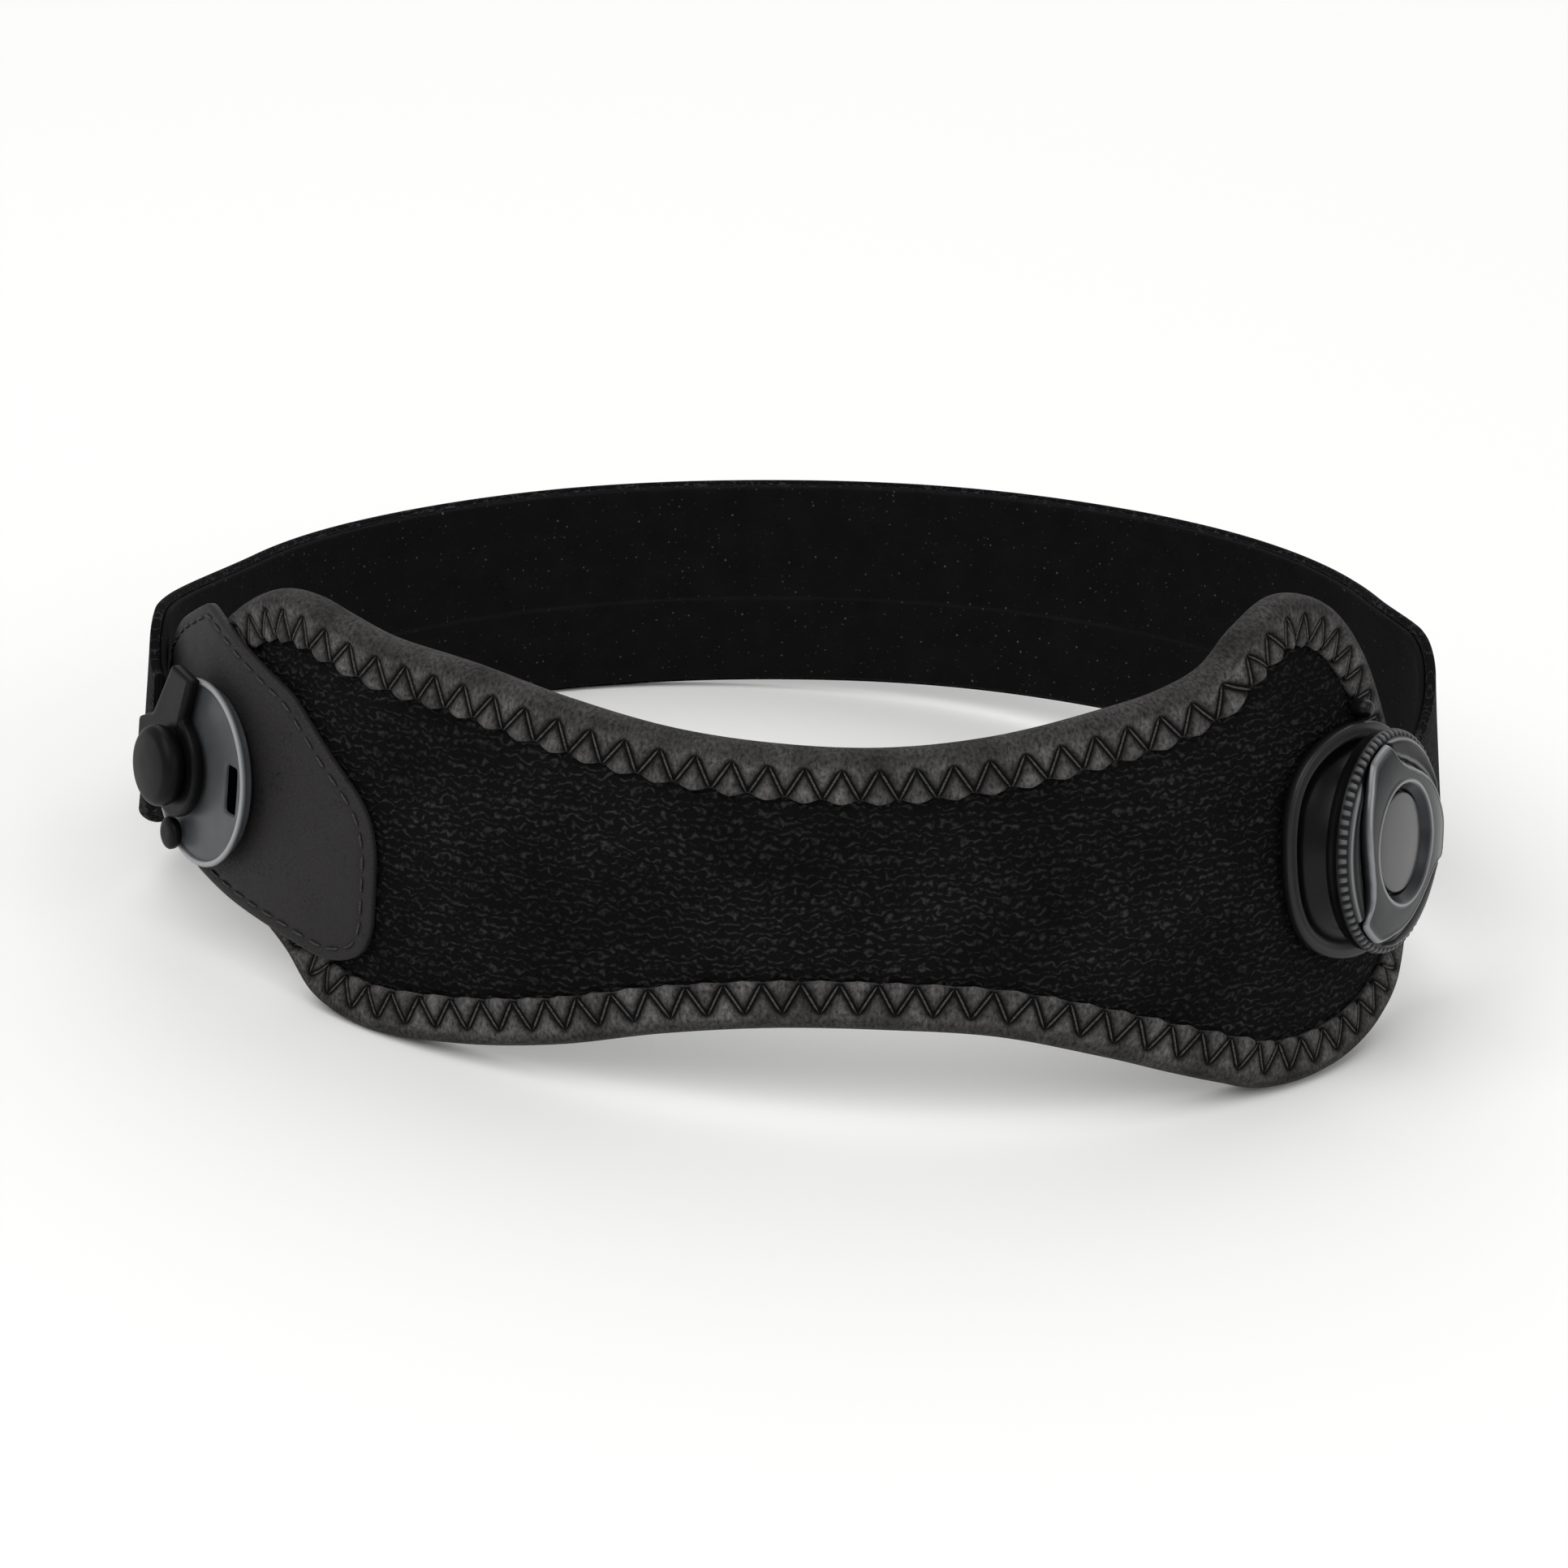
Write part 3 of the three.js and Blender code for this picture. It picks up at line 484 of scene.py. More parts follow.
def tape_material():
    """Brushed polyester edge tape: charcoal with a fine mottled nap, with painted shade in the seams between
    the puffs and round the fold, so that the puffs stand up lighter."""
    material, tree = empty_material("charcoal_brushed_tape")
    place = node(tree, "UVMap", uv_map="surface")
    drawn = node(tree, "Mapping", {"Vector": place, "Scale": (1.5, 0.9, 1.0)})
    fibres = node(tree, "TexNoise", {"Vector": drawn, "Scale": 1 / 0.75, "Detail": 4.0, "Roughness": 0.7})
    tint = between(tree, fibres, 0.34, 0.68, "#333232", "#7a7776")
    blotch = node(tree, "TexNoise", {"Vector": place, "Scale": 1 / 7.0, "Detail": 3.0, "Roughness": 0.55})
    wear = between(tree, blotch, 0.3, 0.7, "#a3a1a0", "#ffffff")
    # Painted shade: darker in the seams between the puffs and round the fold, read from the marked points.
    seam_fold_shade = node(tree, "Attribute", output="Fac", attribute_name="seam_fold_shade")
    shadow = between(tree, seam_fold_shade, 0.08, 0.7, "#ffffff", "#1e1e1e")
    wear_and_highlight = node(tree, "Mix", {"Factor": 1.0, 6: tint, 7: wear}, 2, **MULTIPLIED)
    shaded = {"Factor": 1.0, 6: wear_and_highlight, 7: shadow}
    finish_material(tree, {
        "Base Color": node(tree, "Mix", shaded, 2, **MULTIPLIED),
        "Normal": node(tree, "Bump", {"Height": fibres, "Strength": 1.0, "Distance": 0.12 * MM}),
        "Roughness": 0.8,
        "Specular IOR Level": 0.12,
    })
    return material


def thread_material(name, dark, light):
    """Twisted polyester sewing thread: a slight shine, with its twist as fine slanted bands."""
    material, tree = empty_material(name)
    metres = node(tree, "TexCoord", output="Object")
    place = node(tree, "VectorMath", {0: metres, "Scale": 1 / MM}, operation="SCALE")
    drawn = node(tree, "Mapping", {"Vector": place, "Scale": (1.0, 1.0, 3.0)})
    twist = node(tree, "TexNoise", {"Vector": drawn, "Scale": 1 / 0.6, "Detail": 1.0, "Roughness": 0.55})
    finish_material(tree, {
        "Base Color": between(tree, twist, 0.3, 0.7, dark, light),
        "Normal": node(tree, "Bump", {"Height": twist, "Strength": 1.0, "Distance": 0.08 * MM}),
        "Roughness": 0.6,
    })
    return material


def strap_web_material():
    """Knitted elastic webbing: near-black ribs along the strap with small glinting loops, which
    lie where a soft noise, drawn out along the strap, crosses its middle value."""
    material, tree = empty_material("black_elastic_web")
    rib_mm = 1.3
    loop_stretch = 2.2
    place = node(tree, "UVMap", uv_map="surface")
    drawn = node(tree, "Mapping", {"Vector": place, "Scale": (1 / loop_stretch, 1.0, 1.0)})
    field = node(tree, "TexNoise", {"Vector": drawn, "Scale": 1 / 0.9, "Detail": 1.0, "Roughness": 0.55})
    centred = node(tree, "Math", {0: field, 1: 0.5}, operation="SUBTRACT")
    away = {"Value": node(tree, "Math", {0: centred}, operation="ABSOLUTE"), "From Max": 0.06}
    away |= {"To Min": 1.0, "To Max": 0.0}
    loop = node(tree, "MapRange", away, interpolation_type="SMOOTHSTEP")
    up = node(tree, "SeparateXYZ", {0: place}, 1)
    even_ribs = node(tree, "Math", {0: up, 1: 2 * np.pi / rib_mm}, operation="MULTIPLY")
    rib = node(tree, "Math", {0: even_ribs}, operation="SINE")
    height = node(tree, "Math", {0: rib, 1: 0.45, 2: loop}, operation="MULTIPLY_ADD")
    finish_material(tree, {
        "Base Color": between(tree, height, 0.0, 1.0, "#060607", "#313134"),
        "Normal": node(tree, "Bump", {"Height": height, "Strength": 1.0, "Distance": 0.2 * MM}),
        "Roughness": 0.85,
        "Specular IOR Level": 0.08,
    })
    return material


def strap_lining_material():
    """Brushed nylon lining: smooth and near-black, with sparse pale fibres and a faint woven
    line a little below the middle."""
    material, tree = empty_material("black_brushed_lining")
    line_up = -3.0
    place = node(tree, "UVMap", uv_map="surface")
    soft = node(tree, "TexNoise", {"Vector": place, "Scale": 1 / 5.0, "Detail": 5.0, "Roughness": 0.55})
    tint = between(tree, soft, 0.25, 0.8, "#060607", "#0f0f10")
    specks = node(tree, "TexNoise", {"Vector": place, "Scale": 1 / 0.55, "Detail": 0.0, "Roughness": 0.55})
    sparse = node(tree, "MapRange", {"Value": specks, "From Min": 0.76, "From Max": 0.86})
    pale = {"Factor": sparse, 6: tint, 7: linear("#4a4744")}
    speckled = node(tree, "Mix", pale, 2, data_type="RGBA")
    up = node(tree, "SeparateXYZ", {0: place}, 1)
    above_line = node(tree, "Math", {0: up, 1: line_up}, operation="SUBTRACT")
    away = {"Value": node(tree, "Math", {0: above_line}, operation="ABSOLUTE"), "From Max": 0.5}
    line = node(tree, "MapRange", {**away, "To Min": 0.5, "To Max": 0.0})
    faint = node(tree, "TexNoise", {"Vector": place, "Scale": 1 / 7.0, "Detail": 1.0, "Roughness": 0.55})
    patchy = node(tree, "Math", {0: line, 1: faint}, operation="MULTIPLY")
    woven = {"Factor": patchy, 6: speckled, 7: linear("#242322")}
    grain = node(tree, "TexNoise", {"Vector": place, "Scale": 1 / 0.45, "Detail": 3.0, "Roughness": 0.55})
    finish_material(tree, {
        "Base Color": node(tree, "Mix", woven, 2, data_type="RGBA"),
        "Normal": node(tree, "Bump", {"Height": grain, "Strength": 1.0, "Distance": 0.1 * MM}),
        "Roughness": 0.85,
        "Specular IOR Level": 0.1,
    })
    return material


def patch_material():
    """Synthetic leather, embossed with a fine pebbled grain: mottled charcoal, semi-matt."""
    material, tree = empty_material("charcoal_synthetic_leather")
    pebble_mm = 0.625
    place = node(tree, "UVMap", uv_map="surface")
    cloudy = node(tree, "TexNoise", {"Vector": place, "Scale": 1 / 6.0, "Detail": 4.0, "Roughness": 0.55})
    mottle = node(tree, "TexNoise", {"Vector": place, "Scale": 1 / 0.7, "Detail": 3.0, "Roughness": 0.7})
    uneven = node(tree, "Math", {0: mottle, 1: 1.2, 2: cloudy}, operation="MULTIPLY_ADD")
    cells = {"Vector": place, "Scale": 1 / pebble_mm}
    crease = node(tree, "TexVoronoi", cells, feature="DISTANCE_TO_EDGE")
    pebbles = node(tree, "MapRange", {"Value": crease, "From Max": 0.12})
    handled = node(tree, "TexNoise", {"Vector": place, "Scale": 1 / 3.0, "Detail": 2.0, "Roughness": 0.55})
    finish_material(tree, {
        "Base Color": between(tree, uneven, 0.75, 1.0, "#121111", "#262424"),
        "Normal": node(tree, "Bump", {"Height": pebbles, "Strength": 1.0, "Distance": 0.05 * MM}),
        "Roughness": node(tree, "MapRange", {"Value": handled, "To Min": 0.5, "To Max": 0.68}),
        "Specular IOR Level": 0.22,
    })
    return material


def plastic_material(
    name, dark, light, roughness, grain_mm, grain_depth,
    metallic=0.0, coat=0.0, specular=0.3, highlight_hex=None,
):
    """Moulded plastic: slightly uneven colour, a spark-eroded grain, drawn coarser than a real one so that it
    shows, and a roughness that varies with handling. Where the piece is marked for a painted highlight, its
    colour is mixed towards a lighter one: a painted highlight along rims, crests and edges."""
    material, tree = empty_material(name)
    metres = node(tree, "TexCoord", output="Object")
    place = node(tree, "VectorMath", {0: metres, "Scale": 1 / MM}, operation="SCALE")
    uneven = node(tree, "TexNoise", {"Vector": place, "Scale": 1 / 7.0, "Detail": 3.0, "Roughness": 0.55})
    colour = between(tree, uneven, 0.3, 0.7, dark, light)
    # Painted highlight: the marked points are mixed towards a lighter colour.
    if highlight_hex:
        wear_and_highlight = node(tree, "Attribute", output="Fac", attribute_name="painted_highlight")
        highlight_share = {"Factor": wear_and_highlight, 6: colour, 7: linear(highlight_hex)}
        colour = node(tree, "Mix", highlight_share, 2, data_type="RGBA")
    patches = {"Vector": place, "Scale": 1 / 4.0, "Detail": 4.0, "Roughness": 0.55}
    handled = {"Value": node(tree, "TexNoise", patches)}
    handled |= {"To Min": roughness * 0.85, "To Max": roughness * 1.15}
    grain = node(tree, "TexNoise", {"Vector": place, "Scale": 1 / grain_mm, "Detail": 2.0, "Roughness": 0.55})
    finish_material(tree, {
        "Base Color": colour,
        "Normal": node(tree, "Bump", {"Height": grain, "Strength": 1.0, "Distance": grain_depth * MM}),
        "Roughness": node(tree, "MapRange", handled),
        "Metallic": metallic,
        "Coat Weight": coat,
        "Coat Roughness": 0.12,
        "Specular IOR Level": specular,
        "IOR": 1.5,
    })
    return material


def floor_material():
    """White paper sweep: bright and matt."""
    material, tree = empty_material("white_paper_sweep")
    finish_material(tree, {"Base Color": linear("#f7f7f6"), "Roughness": 0.9})
    return material


# Piece making


def finish_piece(piece, material, slot, body, *nodes):
    """Gives a piece its material and its body, and hides the CAD nodes it stands for."""
    piece.data.materials.append(material)
    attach(piece, body)
    if nodes:
        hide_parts(*nodes)
    return piece


def spline(points, per_span, closed):
    """Centripetal curve through points: each span is a cubic whose end slopes come from the
    neighbours, weighted by the square root of the distances between them."""
    count = len(points)
    spans = count if closed else count - 1
    share = np.linspace(0, 1, per_span, endpoint=False)[:, None]
    index = np.arange(spans)
    if closed:
        before, start, end, after = (points[(index + k) % count] for k in (-1, 0, 1, 2))
    else:
        padded = np.vstack([2 * points[0] - points[1], points, 2 * points[-1] - points[-2]])
        before, start, end, after = (padded[index + k] for k in (0, 1, 2, 3))

    def gap(first, second):
        return np.sqrt(np.linalg.norm(second - first, axis=-1, keepdims=True))

    d0, d1, d2 = gap(before, start), gap(start, end), gap(end, after)
    slope_in = ((start - before) / d0 - (end - before) / (d0 + d1) + (end - start) / d1) * d1
    slope_out = ((end - start) / d1 - (after - start) / (d1 + d2) + (after - end) / d2) * d1
    c2 = -3 * start + 3 * end - 2 * slope_in - slope_out
    c3 = 2 * start - 2 * end + slope_in + slope_out
    curve = (
        start[:, None]
        + slope_in[:, None] * share
        + c2[:, None] * share**2
        + c3[:, None] * share**3
    )
    curve = curve.reshape(-1, points.shape[1])
    return curve if closed else np.vstack([curve, points[-1]])


def even_steps(points, count, closed):
    """Points at equal lengths along a polyline, and the polyline's whole length."""
    if closed:
        points = np.vstack([points, points[:1]])
    length = np.concatenate([[0], np.cumsum(np.linalg.norm(np.diff(points, axis=0), axis=1))])
    wanted = np.linspace(0, length[-1], count, endpoint=not closed)
    even = np.stack([np.interp(wanted, length, points[:, k]) for k in range(points.shape[1])], -1)
    return even, length[-1]


def pad_edge():
    """The pad's outer edge in the flat, top edge first from the left tip, as a closed curve."""
    along = np.array(PAD_OUTLINE["along"]) * PAD_HALF_LENGTH
    top = PAD_UP + np.array(PAD_OUTLINE["top"]) * LOBE_REACH
    bottom = PAD_UP + np.array(PAD_OUTLINE["bottom"]) * LOBE_REACH
    upper = np.stack([along, top], axis=-1)
    lower = np.stack([along[1:-1], bottom[1:-1]], axis=-1)[::-1]
    return spline(np.vstack([upper, lower]), 24, closed=True)


def edge_inwards(edge):
    """Unit direction into the pad at each point of its closed edge."""
    ahead = np.roll(edge, -3, axis=0) - np.roll(edge, 3, axis=0)
    ahead /= np.linalg.norm(ahead, axis=-1, keepdims=True)
    return np.stack([ahead[:, 1], -ahead[:, 0]], axis=-1)


PAD_EDGE = pad_edge()
PAD_EDGE_EVEN, PAD_EDGE_LENGTH = even_steps(PAD_EDGE, 1440, closed=True)
PAD_EDGE_INWARDS = edge_inwards(PAD_EDGE_EVEN)
PAD_EDGE_ALONG = np.linspace(0, PAD_EDGE_LENGTH, len(PAD_EDGE_EVEN), endpoint=False)
ZIGZAG_COUNT = round(PAD_EDGE_LENGTH / ZIGZAG_WANTED_PITCH)
ZIGZAG_PITCH = PAD_EDGE_LENGTH / ZIGZAG_COUNT


def nearest_edge(places):
    """Distance from flat places to the pad's edge: the least over evenly spaced edge points."""
    flat = places.reshape(-1, 2)
    samples = PAD_EDGE_EVEN[::4]
    least = np.full(len(flat), np.inf)
    for sample in samples:
        np.minimum(least, np.hypot(flat[:, 0] - sample[0], flat[:, 1] - sample[1]), out=least)
    return least.reshape(places.shape[:-1])


def knit_pad():
    """The knit pad: a shell over a grid of flat places between its lower and upper edges. Its
    half thickness rises from the bound edge to a crown over a few millimetres, then swells a
    little more towards the middle of its height."""
    rows = 96
    columns = 300
    rim = PAD_EDGE_EVEN + PAD_EDGE_INWARDS * (TAPE_FOLD + CLEARANCE)
    left = int(np.argmin(rim[:, 0]))
    right = int(np.argmax(rim[:, 0]))
    top_side = rim[(left + np.arange((right - left) % len(rim) + 1)) % len(rim)]
    bottom_side = rim[(left - np.arange((left - right) % len(rim) + 1)) % len(rim)]
    even = np.linspace(0, 1, columns)
    closer_at_ends = 0.5 - 0.5 * np.cos(np.pi * even)
    share = 0.65 * even + 0.35 * closer_at_ends
    x = top_side[0, 0] + share * (top_side[-1, 0] - top_side[0, 0])
    top = np.interp(x, top_side[:, 0], top_side[:, 1])
    bottom = np.interp(x, bottom_side[:, 0], bottom_side[:, 1])
    across = np.linspace(0, 1, rows)[:, None]
    y = bottom + across * (top - bottom)
    places = np.stack([np.broadcast_to(x, y.shape), y], axis=-1)
    inside = nearest_edge(places)
    crown = smooth((inside - TAPE_WIDTH + CROWN_START) / CROWN_RUN)
    half = 0.5 * (PAD_EDGE_THICKNESS + crown * (PAD_THICKNESS - PAD_EDGE_THICKNESS))
    swell = PAD_SWELL * smooth((inside - TAPE_WIDTH) / SWELL_RUN)
    outer = wall(places[..., 0], places[..., 1], half + swell)
    inner = wall(places[..., 0], places[..., 1], -half)[::-1]
    level = np.concatenate([outer, inner])
    marks = np.concatenate([places, places[::-1]])
    marks = np.concatenate([marks, marks[:1]])
    piece = grid_piece("knit_pad", level, marks, wrap_rows=True)
    close_poles(piece, 1e-5)
    finish_piece(piece, knit_pad_material(), "pad_knit", "strap", "front_pad")
    return piece


def zigzag(length_along):
    """Inset of the zigzag seam at lengths along the edge: a triangle wave from near to far."""
    phase = np.mod(length_along / ZIGZAG_PITCH, 1.0)
    return ZIGZAG_NEAR + (ZIGZAG_FAR - ZIGZAG_NEAR) * (1 - np.abs(2 * phase - 1))


def tape_relief(length_along, inset):
    """Height of the tape's puffs: it rises away from the zigzag seam towards a soft cushion
    and falls off at the tape's two edges."""
    seam = zigzag(length_along)
    slope = 2 * (ZIGZAG_FAR - ZIGZAG_NEAR) / ZIGZAG_PITCH
    away = np.abs(inset - seam) / np.sqrt(1 + slope**2)
    puff = 1 - np.exp(-((away / PUFF_WIDTH) ** 1.3))
    quilted = smooth((inset - FLAT_FOLD) / FLAT_FOLD)
    return PUFF_DEPTH * (puff - 1) * quilted + PUFF_RISE * quilted


def edge_tape():
    """The bound edge: a folded section carried round the pad's edge. The section is a U with a
    round fold, and its outer and inner faces take the relief of the zigzag seam. Its hem is
    scalloped between the seam's points."""
    face = TAPE_FACE + 0.25
    under = PAD_EDGE_THICKNESS / 2 + 0.1
    fold = np.linspace(0.5 * np.pi, 1.5 * np.pi, 15)[1:-1]
    run = np.linspace(TAPE_WIDTH, FOLD_RADIUS, 18)
    outer = np.stack([np.full_like(run, face), run], axis=-1)
    bend = np.stack([face * np.sin(fold), FOLD_RADIUS * (1 + np.cos(fold))], axis=-1)
    inner = np.stack([np.full_like(run, -face), run[::-1]], axis=-1)
    back = [[-under, TAPE_WIDTH], [-under, TAPE_FOLD], [under, TAPE_FOLD], [under, TAPE_WIDTH]]
    section = np.vstack([outer, bend, inner, back])
    shown = len(section) - len(back)
    out = section[:, 0][:, None] + 0 * PAD_EDGE_ALONG
    inset = section[:, 1][:, None] + 0 * PAD_EDGE_ALONG
    relief_mm = tape_relief(PAD_EDGE_ALONG[None, :], inset)[:shown]
    side = np.sign(section[:shown, 0])[:, None]
    hem = smooth((TAPE_WIDTH - inset[:shown]) / 0.6)
    out[:shown] += side * relief_mm
    out[:shown] -= side * 0.45 * (1 - hem)
    scallop = np.abs(2 * np.mod(PAD_EDGE_ALONG / ZIGZAG_PITCH, 1.0) - 1)
    scallop = SCALLOP_DEPTH * np.sqrt(np.clip(scallop, 0, 1)) - SCALLOP_BACK
    inset[:shown] += scallop[None, :] * smooth((inset[:shown] - 5.0) / 2.0)
    flat = PAD_EDGE_EVEN[None] + inset[..., None] * PAD_EDGE_INWARDS[None]
    level = wall(flat[..., 0], flat[..., 1], out)
    across = np.concatenate([[0], np.cumsum(np.linalg.norm(np.diff(section, axis=0), axis=1))])
    across = np.append(across, across[-1] + 1.0)
    around = np.append(PAD_EDGE_ALONG, PAD_EDGE_LENGTH)
    marks = np.stack(np.broadcast_arrays(around[None, :], across[:, None]), axis=-1)
    piece = grid_piece("edge_tape", level, marks, wrap_rows=True, wrap_columns=True)
    # Painted shade for the tape's material: darker in the seams between the puffs, where the relief dips, and
    # along the fold.
    depth = np.zeros(inset.shape)
    seam = np.clip(PUFF_RISE - relief_mm, 0, PUFF_DEPTH) / PUFF_DEPTH
    fold_shade = 0.42 * (1 - smooth((section[:shown, 1] - 1.2) / 2.4))[:, None]
    depth[:shown] = np.maximum(seam, fold_shade)
    mark_points(piece, "seam_fold_shade", depth)
    return finish_piece(piece, tape_material(), "edge_tape", "strap", "pad_binding")


def tubes(name, paths, radius, sides=6):
    """Round threads: a circle of sides points carried along each path, with its ends drawn in.
    Paths is an array of stitches by points by three."""
    ahead = np.gradient(paths, axis=1)
    ahead /= np.linalg.norm(ahead, axis=-1, keepdims=True)
    helper = np.broadcast_to(np.array([0.31, 0.22, 0.93]), ahead.shape)
    first = np.cross(ahead, helper)
    first /= np.linalg.norm(first, axis=-1, keepdims=True)
    second = np.cross(ahead, first)
    turn = np.linspace(0, 2 * np.pi, sides, endpoint=False)
    steps = paths.shape[1]
    share = np.linspace(-1, 1, steps)
    girth = radius * np.sqrt(np.clip(1.02 - share**6, 0.02, 1))
    cosine, sine = np.cos(turn)[:, None], np.sin(turn)[:, None]
    ring = first[:, :, None] * cosine + second[:, :, None] * sine
    points = paths[:, :, None] + ring * girth[None, :, None, None]
    count = len(paths)
    ends = np.stack([paths[:, 0], paths[:, -1]], axis=1)
    vertices = np.concatenate([points.reshape(-1, 3), ends.reshape(-1, 3)])
    body = grid_faces(steps, sides, False, True)
    body = (np.arange(count)[:, None, None] * steps * sides + body[None]).reshape(-1, 4)
    j = np.arange(sides)
    starts = np.arange(count)[:, None] * steps * sides
    pole = count * steps * sides + 2 * np.arange(count)[:, None]
    head = np.stack([pole + 0 * j, starts + (j + 1) % sides, starts + j], axis=-1)
    tail_start = starts + (steps - 1) * sides
    tail = np.stack([pole + 1 + 0 * j, tail_start + j, tail_start + (j + 1) % sides], axis=-1)
    faces = body.tolist() + head.reshape(-1, 3).tolist() + tail.reshape(-1, 3).tolist()
    return build_piece(name, to_world(vertices), faces)


def tape_thread():
    """The zigzag seam's thread: one tube per leg of the zigzag, on both faces of the tape."""
    leg = np.arange(2 * ZIGZAG_COUNT)
    share = np.linspace(0.06, 0.94, 6)
    length_along = (leg[:, None] + share[None, :]) * ZIGZAG_PITCH / 2
    inset = zigzag(length_along)

    def at_lengths(values):
        columns = [
            np.interp(length_along, PAD_EDGE_ALONG, values[:, k], period=PAD_EDGE_LENGTH)
            for k in range(2)
        ]
        return np.stack(columns, axis=-1)

    flat = at_lengths(PAD_EDGE_EVEN) + inset[..., None] * at_lengths(PAD_EDGE_INWARDS)
    level = TAPE_FACE - THREAD_SINK
    both = [wall(flat[..., 0], flat[..., 1], side * level) for side in (1, -1)]
    piece = tubes("tape_thread", np.concatenate(both), THREAD_RADIUS)
    material = thread_material("charcoal_thread", "#0f0e0e", "#4a4745")
    return finish_piece(piece, material, "edge_tape", "strap")


STRAP_DIAL_END = DIAL_ALONG + EAR_REACH + EAR_GAP
STRAP_HOOK_END = BAND_LENGTH + BUCKLE_ALONG - DISC_RADIUS
HOOK_DROP = DISC_RADIUS**2 / (2 * FRONT_DEPTH)
HOOK_END_OUT = HOOK_SEAT - CLEARANCE - STRAP_THICKNESS + HOOK_DROP
STRAP_ALONG = np.linspace(STRAP_DIAL_END, STRAP_HOOK_END, 520)
EDGE_TURNED_IN = 3.0


def strap_course(along):
    """Half width, middle and inner level of the strap along the band, blended at both ends."""
    from_dial = along - STRAP_DIAL_END
    from_hook = STRAP_HOOK_END - along
    dial_width = DIAL_END_WIDTH + (STRAP_WIDTH - DIAL_END_WIDTH) * smooth(from_dial / DIAL_TAPER)
    hook_width = HOOK_END_WIDTH + (STRAP_WIDTH - HOOK_END_WIDTH) * smooth(from_hook / HOOK_TAPER)
    half = np.minimum(dial_width, hook_width) / 2
    dial_share = 1 - smooth(from_dial / DIAL_BLEND)
    hook_share = 1 - smooth(from_hook / HOOK_BLEND)
    bulge = STRAP_BULGE * np.sin(np.pi * np.minimum(1, from_dial / BULGE_RUN)) ** 2
    out = STRAP_FREE_OUT + bulge + dial_share * (SEAT_LEVEL - STRAP_FREE_OUT)
    out += hook_share * (HOOK_END_OUT - STRAP_FREE_OUT)
    middle = STRAP_UP + dial_share * (DIAL_UP - STRAP_UP) + hook_share * (BUCKLE_UP - STRAP_UP)
    return half, middle, out


def strap_ply(name, low, high, inset):
    """One ply of the strap: a flat section with half-round edges carried along the band. Behind
    the buckle its lower edge turns in by 3 mm, as in the photograph."""
    half, middle, out = strap_course(STRAP_ALONG)
    radius = (high - low) / 2
    arc = np.linspace(-0.5 * np.pi, 0.5 * np.pi, 9)
    across = np.linspace(-1, 1, 33)[1:-1]
    flat_face, round_edge = np.ones(len(across)), np.ones(len(arc))
    end_up = np.concatenate([across, round_edge, across[::-1], -round_edge])
    edge_up = np.concatenate([0 * across, np.cos(arc), 0 * across, -np.cos(arc)])
    level_share = np.concatenate([-flat_face, np.sin(arc), flat_face, -np.sin(arc)])
    up = middle + end_up[:, None] * (half - inset - radius) + edge_up[:, None] * radius
    level_out = out + (low + high) / 2 + level_share[:, None] * radius
    waves = 0.12 * np.sin(STRAP_ALONG / 9.0) * np.abs(end_up)[:, None] ** 3
    from_hook = STRAP_HOOK_END - STRAP_ALONG
    bend = smooth((from_hook - 6) / 12) * (1 - smooth((from_hook - 30) / 30))
    turned_in = EDGE_TURNED_IN * bend * smooth(0.3 - end_up)[:, None]
    level = wall(STRAP_ALONG, up, level_out + waves - turned_in)
    half_way = up[:, len(STRAP_ALONG) // 2]
    across_mm = np.append(half_way, half_way[0])
    marks = np.stack(np.broadcast_arrays(STRAP_ALONG[None, :], across_mm[:, None]), axis=-1)
    shape = level[:, :1].shape
    ends = [np.broadcast_to(level[:, k].mean(axis=0), shape) for k in (0, -1)]
    closed = np.concatenate([ends[0], level, ends[1]], axis=1)
    marks = np.concatenate([marks[:, :1], marks, marks[:, -1:]], axis=1)
    return close_poles(grid_piece(name, closed, marks, wrap_rows=True))


def declare_ply(inset):
    """Works out the ply's width along the strap from its course and inset; the width is not kept or given
    back.
    """
    width = 2 * (strap_course(STRAP_ALONG)[0] - inset)


def strap():
    """The strap's two plies."""
    web = strap_ply("strap_web", LINING_PLY + CLEARANCE * 0.4, STRAP_THICKNESS, 0.0)
    finish_piece(web, strap_web_material(), "strap_web", "strap", "strap_outer")
    declare_ply(0.0)
    lining = strap_ply("strap_inner", 0.0, LINING_PLY, LINING_INSET)
    finish_piece(lining, strap_lining_material(), "strap_lining", "strap", "strap_lining")
    declare_ply(LINING_INSET)


def eased_loop(corners, count, passes):
    """A closed curve along corners: evenly spaced points, each pass of which averages a point
    with its second neighbours, so that the corners become round."""
    dense, _ = even_steps(corners, 720, closed=False)
    dense = dense[:-1]
    for _ in range(passes):
        dense = (np.roll(dense, 2, axis=0) + dense + np.roll(dense, -2, axis=0)) / 3
    even, _ = even_steps(dense, count, closed=True)
    return even


def patch_edge():
    """The patch's edge in the flat, with eased corners."""
    along = PATCH_FRONT - PATCH_LENGTH * np.array(PATCH_OUTLINE["back"])
    top = BUCKLE_UP + PATCH_HEIGHT * np.array(PATCH_OUTLINE["top"])
    bottom = BUCKLE_UP + PATCH_HEIGHT * np.array(PATCH_OUTLINE["bottom"])
    loop = np.vstack([np.stack([along, top], -1), np.stack([along, bottom], -1)[::-1]])
    return eased_loop(np.vstack([loop, loop[:1]]), 480, 14)


def loop_area(loop):
    """Area of a flat closed loop, positive where it runs anticlockwise."""
    x, y = loop.T
    return np.sum(x * np.roll(y, -1) - np.roll(x, -1) * y) / 2


